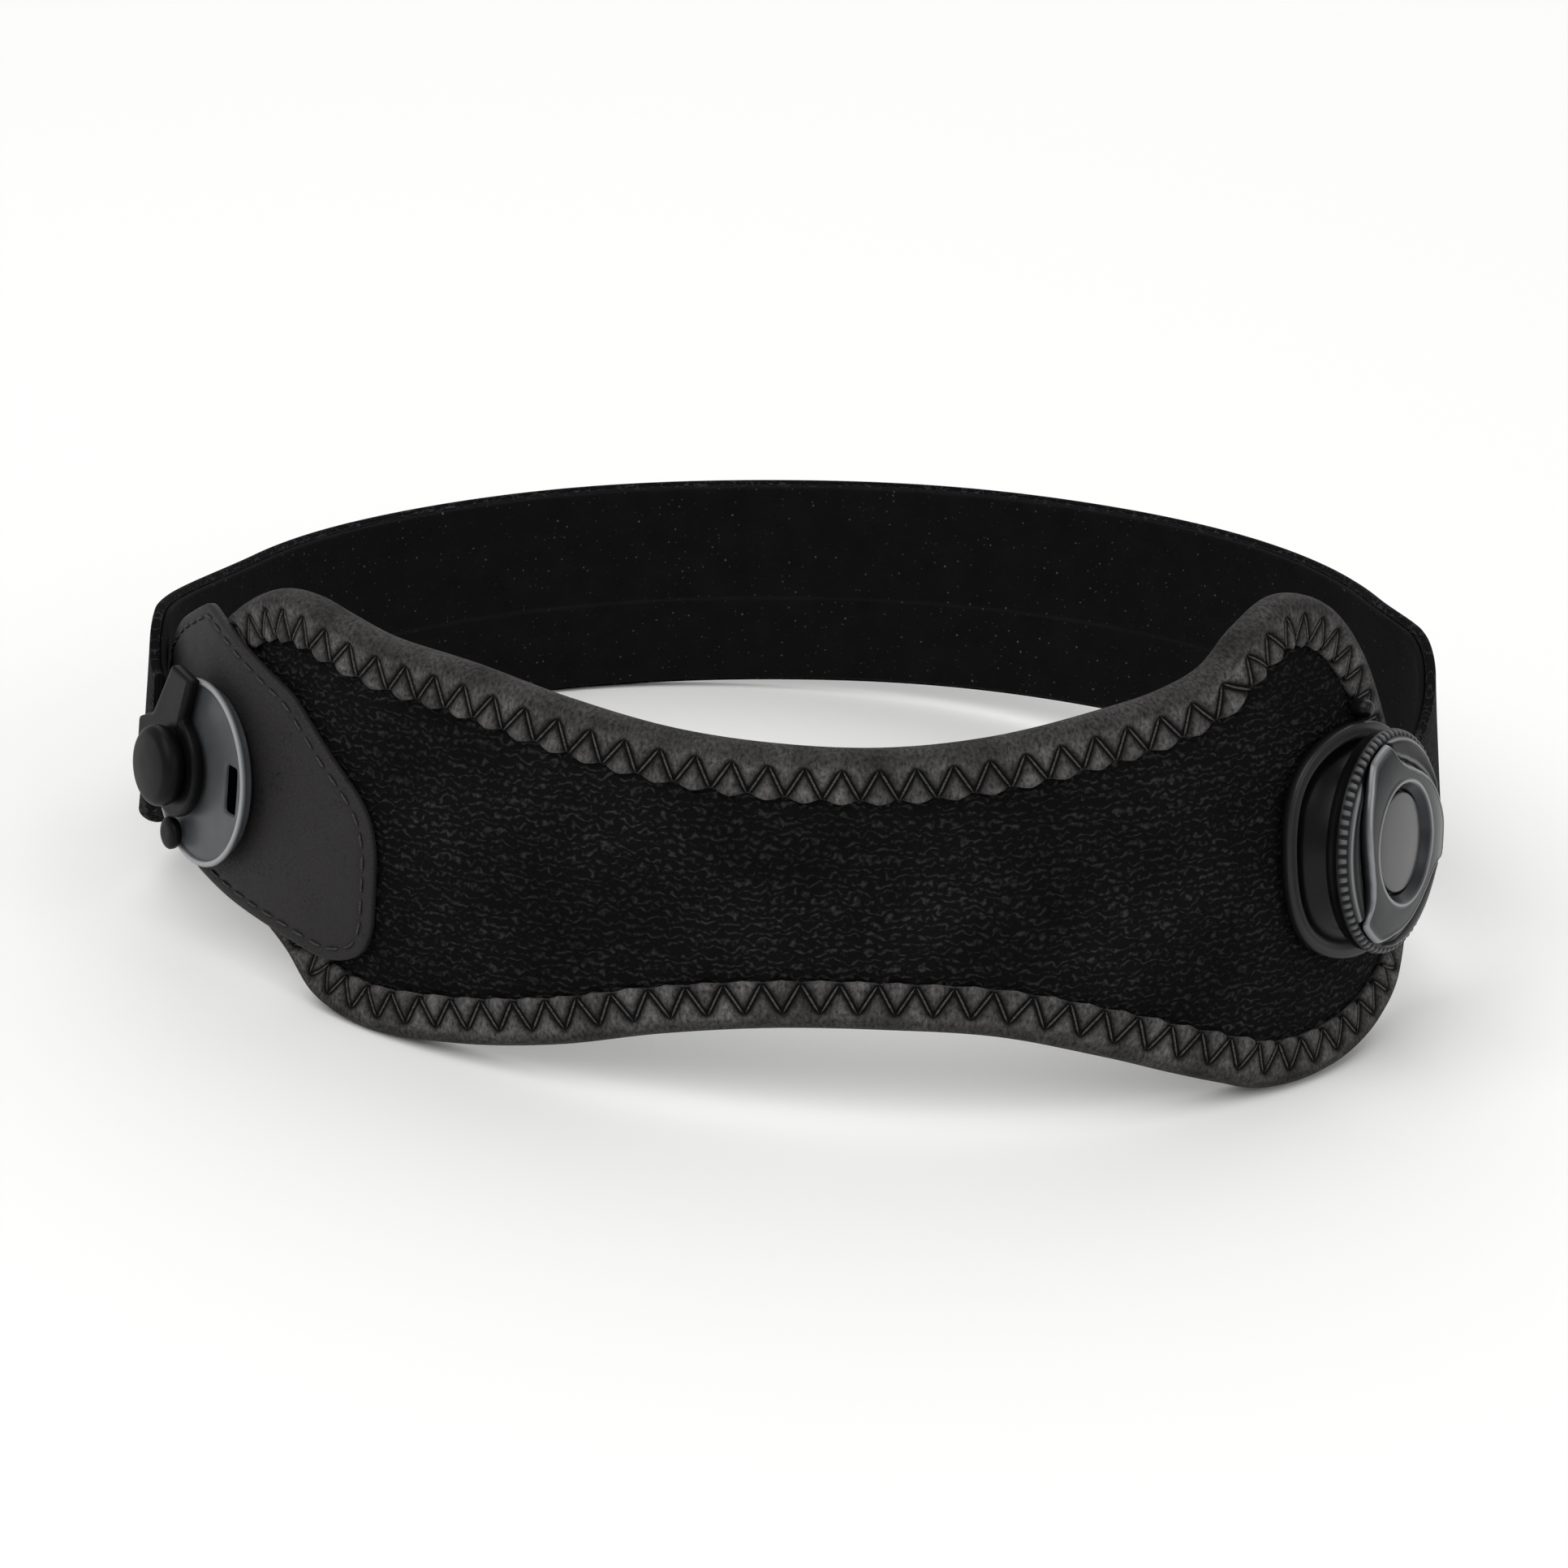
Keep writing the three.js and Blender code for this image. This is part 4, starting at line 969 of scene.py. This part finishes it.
def inset_loop(loop, inset):
    """A closed loop moved inwards by a distance, its inward side found from its area."""
    ahead = np.roll(loop, -2, axis=0) - np.roll(loop, 2, axis=0)
    ahead /= np.linalg.norm(ahead, axis=-1, keepdims=True)
    side = np.sign(loop_area(loop))
    return loop + inset * side * np.stack([-ahead[:, 1], ahead[:, 0]], axis=-1)


def leather_patch():
    """The patch: rings from its underside round its rolled edge and over its face to its
    middle, with a shallow groove under the stitches."""
    edge = patch_edge()
    centre = edge.mean(axis=0)
    rows = [
        (0.3, SEAT_LEVEL), (0.0, SEAT_LEVEL + 0.2), (0.0, PATCH_FACE - 0.45),
        (0.12, PATCH_FACE - 0.15), (0.45, PATCH_FACE), (0.8, PATCH_FACE + 0.02),
        (1.3, PATCH_FACE - 0.02), (1.6, PATCH_FACE - 0.16), (1.9, PATCH_FACE - 0.18),
        (2.3, PATCH_FACE - 0.02), (2.8, PATCH_FACE + 0.03), (3.6, PATCH_FACE),
    ]
    under = [centre + (edge - centre) * share for share in (0.02, 0.5)]
    over = [inset_loop(edge, inset) for inset, _ in rows]
    to_middle = np.linspace(0.06, 1, 22)
    face = [over[-1] + (centre - over[-1]) * share for share in to_middle]
    flat = np.stack(under + over + face)
    out = [SEAT_LEVEL] * len(under) + [level for _, level in rows] + [PATCH_FACE] * len(face)
    level = wall(flat[..., 0], flat[..., 1], np.array(out)[:, None])
    marks = np.concatenate([flat, flat[:, :1]], axis=1)
    piece = grid_piece("leather_patch", level, marks, wrap_columns=True)
    close_poles(piece, 1e-5)
    finish_piece(piece, patch_material(), "patch_leather", "strap", "buckle_patch")


def patch_stitches():
    """Lockstitches in the patch's groove: short arched threads, about three quarters of their
    spacing long."""
    groove_inset = 1.75
    count = 50
    seam = inset_loop(patch_edge(), groove_inset)
    even, length = even_steps(seam, 4000, closed=True)
    pitch = length / count
    share = np.linspace(0.14, 0.86, 6)
    wanted = (np.arange(count)[:, None] + share[None, :]) * pitch
    around = np.linspace(0, length, len(even), endpoint=False)
    flat = np.stack([np.interp(wanted, around, even[:, k]) for k in range(2)], axis=-1)
    arch = 0.1 * np.sin(np.pi * (share - share[0]) / (share[-1] - share[0]))
    out = PATCH_FACE - 0.08 + arch
    piece = tubes("patch_stitches", wall(flat[..., 0], flat[..., 1], out), 0.19)
    material = thread_material("dark_thread", "#121111", "#322f2d")
    finish_piece(piece, material, "patch_leather", "strap")


def ray_to_circle(centre_x, radius, turn):
    """Distance from (centre_x, 0) along each turn to a circle about the origin."""
    across = centre_x * np.cos(turn)
    return -across + np.sqrt(across**2 - centre_x**2 + radius**2)


def rounded_box_reach(half_x, half_y, turn, power=8):
    """Reach of a box with eased corners towards each turn: a superellipse."""
    return (
        np.abs(np.cos(turn) / half_x) ** power + np.abs(np.sin(turn) / half_y) ** power
    ) ** (-1 / power)


def slotted_disc():
    """The disc: a closed skin from its slot, over its plate to its round rim and back under it,
    all seen from the slot's middle. Each row is an inset from slot or rim, and a level."""
    turn = np.linspace(0, 2 * np.pi, 288, endpoint=False)
    slot = rounded_box_reach(SLOT_WIDTH / 2, SLOT_LENGTH / 2, turn)
    plate = DISC_FACE - 0.35
    plate_edge = 0.3
    slot_rows = [(0, DISC_SEAT + 0.1), (0, plate - 0.2), (0.12, plate - 0.03), (plate_edge, plate)]
    rim_rows = [
        (1.5, plate), (1.15, plate - 0.04), (0.95, plate + 0.04), (0.8, DISC_FACE - 0.08),
        (0.65, DISC_FACE), (0.35, DISC_FACE), (0.15, DISC_FACE - 0.07), (0.0, DISC_FACE - 0.25),
        (0.0, DISC_FACE - 0.6), (0.25, DISC_FACE - 0.85), (0.9, DISC_FACE - 0.95),
        (1.1, DISC_FACE - 1.2), (1.1, DISC_SEAT + 0.2), (1.3, DISC_SEAT),
    ]
    rows = [(slot + inset, level) for inset, level in slot_rows]
    near = slot + plate_edge
    wide = ray_to_circle(SLOT_FROM_CENTRE, DISC_RADIUS - rim_rows[0][0], turn)
    wide = np.maximum(wide, near + 0.05)
    rows += [(near + (wide - near) * share, plate) for share in np.linspace(0.1, 0.9, 8)]
    crest = len(rows)
    for inset, level in rim_rows:
        reach = ray_to_circle(SLOT_FROM_CENTRE, DISC_RADIUS - inset, turn)
        rows.append((np.maximum(reach, near + 0.06 - 0.02 * inset), level))
    rows.append((slot, DISC_SEAT))
    local = np.stack([around_axis(reach, level, turn) for reach, level in rows])
    local[..., 0] += SLOT_FROM_CENTRE
    place = seat(BUCKLE_ALONG, BUCKLE_UP)
    piece = grid_piece("slotted_disc", place(local), wrap_rows=True, wrap_columns=True)
    # Painted highlight: a pale line along the crest of the disc's rim, in place of the light it catches.
    highlight_share = np.zeros(len(rows))
    highlight_share[crest + 3 : crest + 8] = [0.5, 1, 1, 0.8, 0.2]
    mark_points(piece, "painted_highlight", np.repeat(highlight_share, len(turn)))
    material = plastic_material(
        "grey_nylon", "#3e4042", "#4d4f51", 0.36, 0.5, 0.015, highlight_hex="#9a9b9c"
    )
    finish_piece(piece, material, "buckle_grey", "strap", "buckle_disc")


def slot_shadow_plate():
    """Painted shadow: a dull black plate at the bottom of the disc's slot, standing in for the shade inside
    the slot. Rings of an eased box.
    """
    turn = np.linspace(0, 2 * np.pi, 64, endpoint=False)
    reach = rounded_box_reach(SLOT_WIDTH / 2 + 0.2, SLOT_LENGTH / 2 + 0.2, turn)
    low, high = DISC_SEAT + 0.15, DISC_FACE - 0.8
    rows = [(0.01, low), (1, low), (1, high), (0.01, high)]
    local = np.stack([around_axis(reach * share, level, turn) for share, level in rows])
    local[..., 0] += SLOT_FROM_CENTRE
    place = seat(BUCKLE_ALONG, BUCKLE_UP)
    piece = close_poles(grid_piece("slot_shadow_plate", place(local), wrap_columns=True), 2e-5)
    # Painted shadow: dull black with no specular, so that the slot reads as deep shade.
    material = plastic_material(
        "painted_slot_shadow", "#020202", "#030303", 0.9, 0.5, 0.01, specular=0
    )
    finish_piece(piece, material, "hook_black", "strap")


def hook_outline():
    """The hook plate's outline, as corners joined by straight lines and an arc about the stud,
    then eased: a tail on the strap and a tongue that stands up past the disc's rim."""
    arc = np.linspace(-0.5 * np.pi, TONGUE_TURN, 40)
    corners = [[-HOOK_TAIL, -HOOK_TAIL_WIDTH / 2]]
    corners += [[HOOK_RADIUS * np.cos(turn), HOOK_RADIUS * np.sin(turn)] for turn in arc]
    corners += [[TONGUE_WIDTH - 1, TONGUE_TOP - 1], [-1, TONGUE_TOP]]
    corners += [[-TONGUE_ROOT, TONGUE_ROOT], [-HOOK_TAIL, HOOK_TAIL_WIDTH / 2]]
    corners += [[-HOOK_TAIL, -HOOK_TAIL_WIDTH / 2]]
    return eased_loop(np.array(corners), 480, 6)


def hook():
    """The hook plate: a closed skin from its round hole over its face, round its eased rim and
    back underneath."""
    outline = hook_outline()
    turn = np.arctan2(outline[:, 1], outline[:, 0])
    hole = (STUD_RADIUS + CLEARANCE) * np.stack([np.cos(turn), np.sin(turn)], axis=-1)
    edge = [
        (0.9, HOOK_FACE), (0.55, HOOK_FACE), (0.3, HOOK_FACE - 0.06), (0.1, HOOK_FACE - 0.2),
        (0.0, HOOK_FACE - 0.5), (0.0, HOOK_SEAT + 0.4), (0.12, HOOK_SEAT + 0.1), (0.4, HOOK_SEAT),
    ]
    inner = inset_loop(outline, edge[0][0])
    loops = [hole, hole] + [hole + (inner - hole) * share for share in (0.3, 0.6, 0.85)]
    levels = [HOOK_SEAT, HOOK_FACE, HOOK_FACE, HOOK_FACE, HOOK_FACE]
    loops += [inset_loop(outline, inset) for inset, _ in edge]
    levels += [level for _, level in edge]
    flat = np.stack(loops)
    x, y, height = np.broadcast_arrays(flat[..., 0], flat[..., 1], np.array(levels)[:, None])
    local = np.stack([x - HOOK_SET_BACK, y, height], axis=-1)
    place = seat(BUCKLE_ALONG, BUCKLE_UP)
    piece = grid_piece("hook_keeper", place(local), wrap_rows=True, wrap_columns=True)
    material = plastic_material(
        "black_acetal", "#060606", "#0c0c0c", 0.42, 0.4, 0.012, specular=0.12
    )
    finish_piece(piece, material, "hook_black", "strap", "hook_plate")
    return material


def on_hook(along_offset, up_offset):
    """A placing function for a turned piece that stands on the hook plate."""
    place = seat(BUCKLE_ALONG, BUCKLE_UP)
    shift = np.array([-HOOK_SET_BACK + along_offset, up_offset, 0])
    return lambda points: place(points + shift)


def stud_and_tab(material):
    """The mushroom stud and the small tab, both turned."""
    base = HOOK_FACE + CLEARANCE
    stud = fillet(
        [
            (0, DISC_FACE), (STUD_RADIUS, DISC_FACE, 0.2), (STUD_RADIUS, base, 0.3),
            (HEAD_RADIUS * 0.93, base, 0.3), (HEAD_RADIUS, base + 0.3 * HEAD_HEIGHT, 0.5),
            (HEAD_RADIUS * 0.97, base + 0.66 * HEAD_HEIGHT, 0.5),
            (HEAD_RADIUS * 0.82, base + 0.86 * HEAD_HEIGHT, 0.5),
            (HEAD_RADIUS * 0.4, base + 0.96 * HEAD_HEIGHT, 1.5), (0, base + 0.97 * HEAD_HEIGHT),
        ]
    )
    piece = turned_piece("stud", stud, on_hook(0, 0), 96)
    finish_piece(piece, material, "hook_black", "strap", "buckle_stud")
    tab = fillet(
        [
            (0, HOOK_SEAT), (TAB_RADIUS * 0.85, HOOK_SEAT, 0.2), (TAB_RADIUS, HOOK_SEAT + 0.6, 0.5),
            (TAB_RADIUS, HOOK_FACE - 0.4, 0.5), (TAB_RADIUS * 0.6, HOOK_FACE, 0.5), (0, HOOK_FACE),
        ]
    )
    piece = turned_piece("tab", tab, on_hook(0, -HOOK_RADIUS - TAB_RADIUS - CLEARANCE), 48)
    finish_piece(piece, material, "hook_black", "strap", "latch_tab")


def dial_seat():
    """The placing function of the dial's turned parts, on the flange and turned by its yaw."""
    return seat(DIAL_ALONG, DIAL_UP, DIAL_YAW)


def eased(reach, passes):
    """A closed row of values, each pass of which averages a value with its two neighbours."""
    for _ in range(passes):
        reach = (np.roll(reach, 1) + reach + np.roll(reach, -1)) / 3
    return reach


def flange_reach(turn):
    """Reach of the flange towards each turn: round, with a straight ear facing the strap, and
    flattened in a smooth curve facing the pad."""
    from_ear = np.abs(np.arctan2(np.sin(turn), np.cos(turn)))
    ear = np.minimum(
        EAR_REACH / np.maximum(np.cos(from_ear), 1e-6),
        FLANGE_RADIUS / np.cos(np.minimum(EAR_SLANT - from_ear, 1.2)),
    )
    flat = np.maximum(0, -np.cos(from_ear)) / FRONT_REACH
    front = (flat**FRONT_ROUNDING + FLANGE_RADIUS**-FRONT_ROUNDING) ** (-1 / FRONT_ROUNDING)
    return eased(np.where(from_ear >= EAR_SLANT, front, ear), 4)


def dial_flange():
    """The dial's base: rings from the middle of its underside over a raised lip and a shallow
    tray to the boss. The flange is bent with the wall and the boss is flat."""
    turn = np.linspace(0, 2 * np.pi, 288, endpoint=False)
    reach = flange_reach(turn)
    lip = FLANGE_FACE + LIP_HEIGHT
    bent = [
        (0.4, SEAT_LEVEL), (0.94, SEAT_LEVEL), (0.975, SEAT_LEVEL + 0.08), (0.995, SEAT_LEVEL + 0.4),
        (1.0, SEAT_LEVEL + 0.9), (1.0, FLANGE_FACE), (0.995, lip - 0.25), (0.982, lip - 0.08),
        (0.965, lip), (0.925, lip + 0.02), (0.9, lip - 0.06), (0.885, lip - 0.3),
        (0.872, FLANGE_FACE + 0.06), (0.855, FLANGE_FACE), (BOSS_RADIUS / FLANGE_RADIUS, FLANGE_FACE),
    ]
    share, out = np.array(bent).T[..., None]
    along = DIAL_ALONG + share * reach * np.cos(turn)
    up = DIAL_UP + share * reach * np.sin(turn)
    bent_rings = wall(along, up, out)
    bore = SPINDLE_RADIUS + CLEARANCE
    flat = [
        (BOSS_RADIUS, BOSS_FACE - 0.25), (BOSS_RADIUS - 0.25, BOSS_FACE), (bore + 0.2, BOSS_FACE),
        (bore, BOSS_FACE - 0.2), (bore, BOSS_FACE - 1.5), (0.01, BOSS_FACE - 1.5),
    ]
    radius, height = np.array(flat).T[..., None]
    flat_rings = dial_seat()(around_axis(radius, height, turn))
    under = np.broadcast_to(bent_rings[0].mean(axis=0), bent_rings[:1].shape)
    level = np.concatenate([under, bent_rings, flat_rings])
    piece = grid_piece("dial_flange", level, wrap_columns=True)
    # Painted highlight: a pale band along the flange's raised lip.
    highlight_share = np.zeros(len(level))
    highlight_share[6:14] = [0.05, 0.08, 0.1, 0.14, 0.25, 0.6, 0.8, 0.3]
    mark_points(piece, "painted_highlight", np.repeat(highlight_share, len(turn)))
    close_poles(piece, 2e-5)
    material = plastic_material(
        "black_glass_nylon", "#070708", "#0f0f10", 0.3, 0.5, 0.012,
        specular=0.2, highlight_hex="#6c6d6f",
    )
    finish_piece(piece, material, "dial_black", "strap", "dial_base")
    return material


def cap_reach(turn):
    """Radius that the cap's edge reaches towards each turn, from the arm table repeated round
    the cap and eased."""
    sector = 360 / ARM_COUNT
    degrees = np.mod(np.degrees(turn) - FIRST_ARM, sector)
    reach = CAP_RADIUS * np.interp(degrees, ARM_EDGE["turn"], ARM_EDGE["reach"])
    return eased(reach, 6)


def grip_ring():
    """The knob's skirt: an upright wall, a narrow slanted shoulder with a row of small teeth,
    and a top with a raised crescent between each two arms."""
    turn = np.linspace(0, 2 * np.pi, RING_TEETH * 10, endpoint=False)
    bore = SPINDLE_RADIUS + CLEARANCE
    low, high = RING_SEAT, RING_FACE
    top_edge = RING_RADIUS - 1.1
    under = [
        (bore, low), (8.0, low), (top_edge, low), (RING_RADIUS - 0.6, low + 0.1),
        (RING_RADIUS - 0.4, low + 0.35), (RING_RADIUS - 0.3, low + 1.0),
        (RING_RADIUS - 0.25, high - 1.5), (RING_RADIUS - 0.05, high - 1.35),
        (RING_RADIUS, high - 1.2),
    ]
    slant = np.linspace(0, 1, 26)
    shoulder = np.stack([RING_RADIUS - 0.05 - 0.95 * slant, high - 1.1 + 1.1 * slant**0.8], -1)
    top = np.stack([np.linspace(top_edge, 10.4, 40), np.full(40, high)], -1)
    section = np.vstack([under, shoulder, top, [(8.0, high), (bore, high)]])
    top_start = len(under) + len(slant)
    on_top = (np.arange(len(section)) >= top_start)[:, None]
    band = np.zeros((len(section), 1))
    band[len(under) : top_start, 0] = np.sin(np.pi * slant)
    tooth = smooth(0.5 + 0.9 * np.cos(RING_TEETH * turn)) * band
    r = section[:, :1] + 0.2 * tooth
    groove = cap_reach(turn) + 0.7
    width = np.maximum(top_edge - groove, 0.05)
    wide_enough = smooth((width - 0.3) / 1.2)
    share = np.clip((r - groove) / width, 0, 1)
    crescent = np.sin(np.pi * share) ** 0.4 * wide_enough
    h = section[:, 1:] + 0.3 * tooth + 0.8 * crescent * on_top
    local = around_axis(r, h, turn)
    piece = grid_piece("grip_ring", dial_seat()(local), wrap_rows=True, wrap_columns=True)
    # Painted highlights: pale tips on the teeth and pale lines along the crests of each crescent.
    inner_crest = np.exp(-(((share - 0.12) / 0.07) ** 2))
    outer_crest = np.exp(-(((share - 0.9) / 0.06) ** 2))
    highlight_share = 0.55 * tooth + on_top * (inner_crest + outer_crest) * wide_enough
    mark_points(piece, "painted_highlight", np.clip(highlight_share, 0, 1))
    material = plastic_material(
        "satin_black_nylon", "#060606", "#0d0d0e", 0.34, 0.5, 0.008,
        specular=0.15, highlight_hex="#7d7e80",
    )
    finish_piece(piece, material, "dial_black", "knob", "dial_grip_ring")


def three_armed_cap():
    """The cap: a skin from the bowl's floor, up the bowl's bevel, over a domed top to the arms'
    rolled edge and back underneath."""
    turn = np.linspace(0, 2 * np.pi, 540, endpoint=False)
    reach = cap_reach(turn)
    bowl = FACE_RADIUS + CLEARANCE
    rim = 0.6
    crown = 1.0

    def top(radius):
        slope = np.clip((radius - CAP_BOWL) / (CAP_RADIUS - CAP_BOWL), 0, 1)
        return CAP_SEAT + rim + crown * (1 - slope**2)

    rows = [(bowl, CAP_SEAT), (bowl, CAP_SEAT + 0.35), (bowl + 0.12, CAP_SEAT + 0.5)]
    bevel = [(-0.5, -0.25), (-0.35, 0.0), (-0.15, 0.14), (0.08, 0.1), (0.25, -0.02)]
    rows += [(CAP_BOWL + outward, top(CAP_BOWL) + rise) for outward, rise in bevel]
    arm_start = CAP_BOWL + bevel[-1][0]
    for share in np.linspace(0.12, 0.88, 10):
        radius = arm_start + share * (reach - 0.9 - arm_start)
        rows.append((radius, top(radius)))
    for inset, drop in [(0.8, 0.04), (0.6, -0.06), (0.4, -0.06), (0.15, 0.15), (0.0, 0.5)]:
        rows.append((reach - inset, top(reach - inset) - drop))
    rows.append((reach, CAP_SEAT))
    local = np.stack([around_axis(radius, height, turn) for radius, height in rows])
    piece = grid_piece("arm_cap", dial_seat()(local), wrap_rows=True, wrap_columns=True)
    # Painted highlights: pale lines on the bowl's bevel and along the arms' rolled edge.
    highlight_share = np.zeros(len(rows))
    highlight_share[4:8] = [0.2, 1, 0.8, 0.1]
    highlight_share[-6:-1] = [0, 0.3, 0.9, 0.8, 0.2]
    mark_points(piece, "painted_highlight", np.repeat(highlight_share, len(turn)))
    material = plastic_material(
        "satin_gunmetal_coat", "#2b2c2e", "#38393b", 0.3, 0.3, 0.005,
        metallic=0.6, highlight_hex="#8f9092",
    )
    finish_piece(piece, material, "dial_satin", "knob", "dial_cap")


def dial_lens():
    """The knob's bare face: a low dome with an eased edge."""
    profile = fillet(
        [
            (0, CAP_SEAT), (FACE_RADIUS, CAP_SEAT, 0.05), (FACE_RADIUS, CAP_SEAT + FACE_HEIGHT, 0.35),
            (FACE_RADIUS * 0.7, CAP_SEAT + FACE_HEIGHT + 0.5 * FACE_CROWN, 1.5),
            (0, CAP_SEAT + FACE_HEIGHT + FACE_CROWN),
        ],
        steps=8,
    )
    piece = turned_piece("dial_lens", profile, dial_seat(), 128)
    material = plastic_material(
        "gloss_black_face", "#2a2a2c", "#353537", 0.25, 1.0, 0.003, coat=0.4
    )
    finish_piece(piece, material, "dial_satin", "knob", "dial_face")


def cable_guides(material):
    """Two small domed posts beside the flange."""
    profile = fillet(
        [
            (0, SEAT_LEVEL), (GUIDE_RADIUS, SEAT_LEVEL, 0.1),
            (GUIDE_RADIUS, SEAT_LEVEL + 0.7 * GUIDE_HEIGHT, 0.8),
            (GUIDE_RADIUS * 0.6, SEAT_LEVEL + GUIDE_HEIGHT, 0.6), (0, SEAT_LEVEL + GUIDE_HEIGHT),
        ]
    )
    reach = FLANGE_RADIUS + CLEARANCE + GUIDE_RADIUS
    for side, turn in GUIDE_ANGLES.items():
        place = seat(DIAL_ALONG + reach * np.cos(turn), DIAL_UP + reach * np.sin(turn))
        piece = turned_piece(f"guide_{side}", profile, place, 48)
        finish_piece(piece, material, "dial_black", "strap", f"cable_guide_{side}")


def spindle_finish(material):
    """The hidden spindle keeps its CAD shape and takes the dial's plastic."""
    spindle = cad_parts["dial_spindle"]
    spindle.data.materials.clear()
    spindle.data.materials.append(material)


# Studio


def camera():
    """The photograph's camera: set in the level frame, then tipped with it."""
    azimuth, elevation, roll = np.radians([7.5, 18.2, 0.4])
    distance_mm = 716.0
    right = np.array([np.cos(azimuth), np.sin(azimuth), 0.0])
    towards_eye = np.array([np.sin(azimuth), -np.cos(azimuth), 0.0])
    back = np.cos(elevation) * towards_eye + np.array([0.0, 0.0, np.sin(elevation)])
    up = np.cross(back, right)
    rolled_right = np.cos(roll) * right + np.sin(roll) * up
    rolled_up = np.cos(roll) * up - np.sin(roll) * right
    axes = REST_MATRIX @ np.stack([rolled_right, rolled_up, back], axis=-1)
    place = to_world(back * distance_mm)
    data = bpy.data.cameras.new("photo_camera")
    data.lens = 110
    data.sensor_width = 36
    data.shift_y = -0.033
    data.shift_x = -0.012
    data.dof.use_dof = False
    data.clip_start = 0.01
    data.clip_end = 20
    eye = bpy.data.objects.new("photo_camera", data)
    matrix = np.eye(4)
    matrix[:3, :3] = axes
    matrix[:3, 3] = place
    eye.matrix_world = matrix.T.tolist()
    bpy.context.scene.collection.objects.link(eye)
    bpy.context.scene.camera = eye


def area_light(name, place, aim, size, watts):
    """A soft square light at a place, turned to face aim."""
    data = bpy.data.lights.new(name, "AREA")
    data.size = size
    data.energy = watts
    light = bpy.data.objects.new(name, data)
    light.location = place
    direction = np.array(aim) - np.array(place)
    light.rotation_euler = Vector(direction).to_track_quat("-Z", "Y").to_euler()
    bpy.context.scene.collection.objects.link(light)


def studio():
    """Pale floor, pale surroundings, a large key light from the upper left and two fills."""
    middle = (0.0, 0.0, 0.03)
    area_light("key_light", (-0.45, -0.65, 1.35), middle, 1.4, 14)
    area_light("side_fill", (1.1, -0.75, 0.7), middle, 1.0, 4)
    area_light("back_light", (0.1, 1.1, 1.1), middle, 1.8, 10)
    bpy.context.scene.view_settings.view_transform = "Standard"
    world = bpy.data.worlds.new("studio")
    world.use_nodes = True
    background = world.node_tree.nodes["Background"]
    background.inputs["Color"].default_value = linear("#f4f4f4")
    background.inputs["Strength"].default_value = 0.48
    bpy.context.scene.world = world
    half = 4.0
    mesh = bpy.data.meshes.new("floor")
    corners = [(-half, -half, 0), (half, -half, 0), (half, half, 0), (-half, half, 0)]
    mesh.from_pydata(corners, [], [(0, 1, 2, 3)])
    floor = bpy.data.objects.new("floor", mesh)
    mesh.materials.append(floor_material())
    bpy.context.scene.collection.objects.link(floor)


camera()
studio()
knit_pad()
edge_tape()
tape_thread()
strap()
leather_patch()
patch_stitches()
slotted_disc()
hook_plastic = hook()
slot_shadow_plate()
stud_and_tab(hook_plastic)
dial_plastic = dial_flange()
grip_ring()
three_armed_cap()
dial_lens()
cable_guides(dial_plastic)
spindle_finish(dial_plastic)
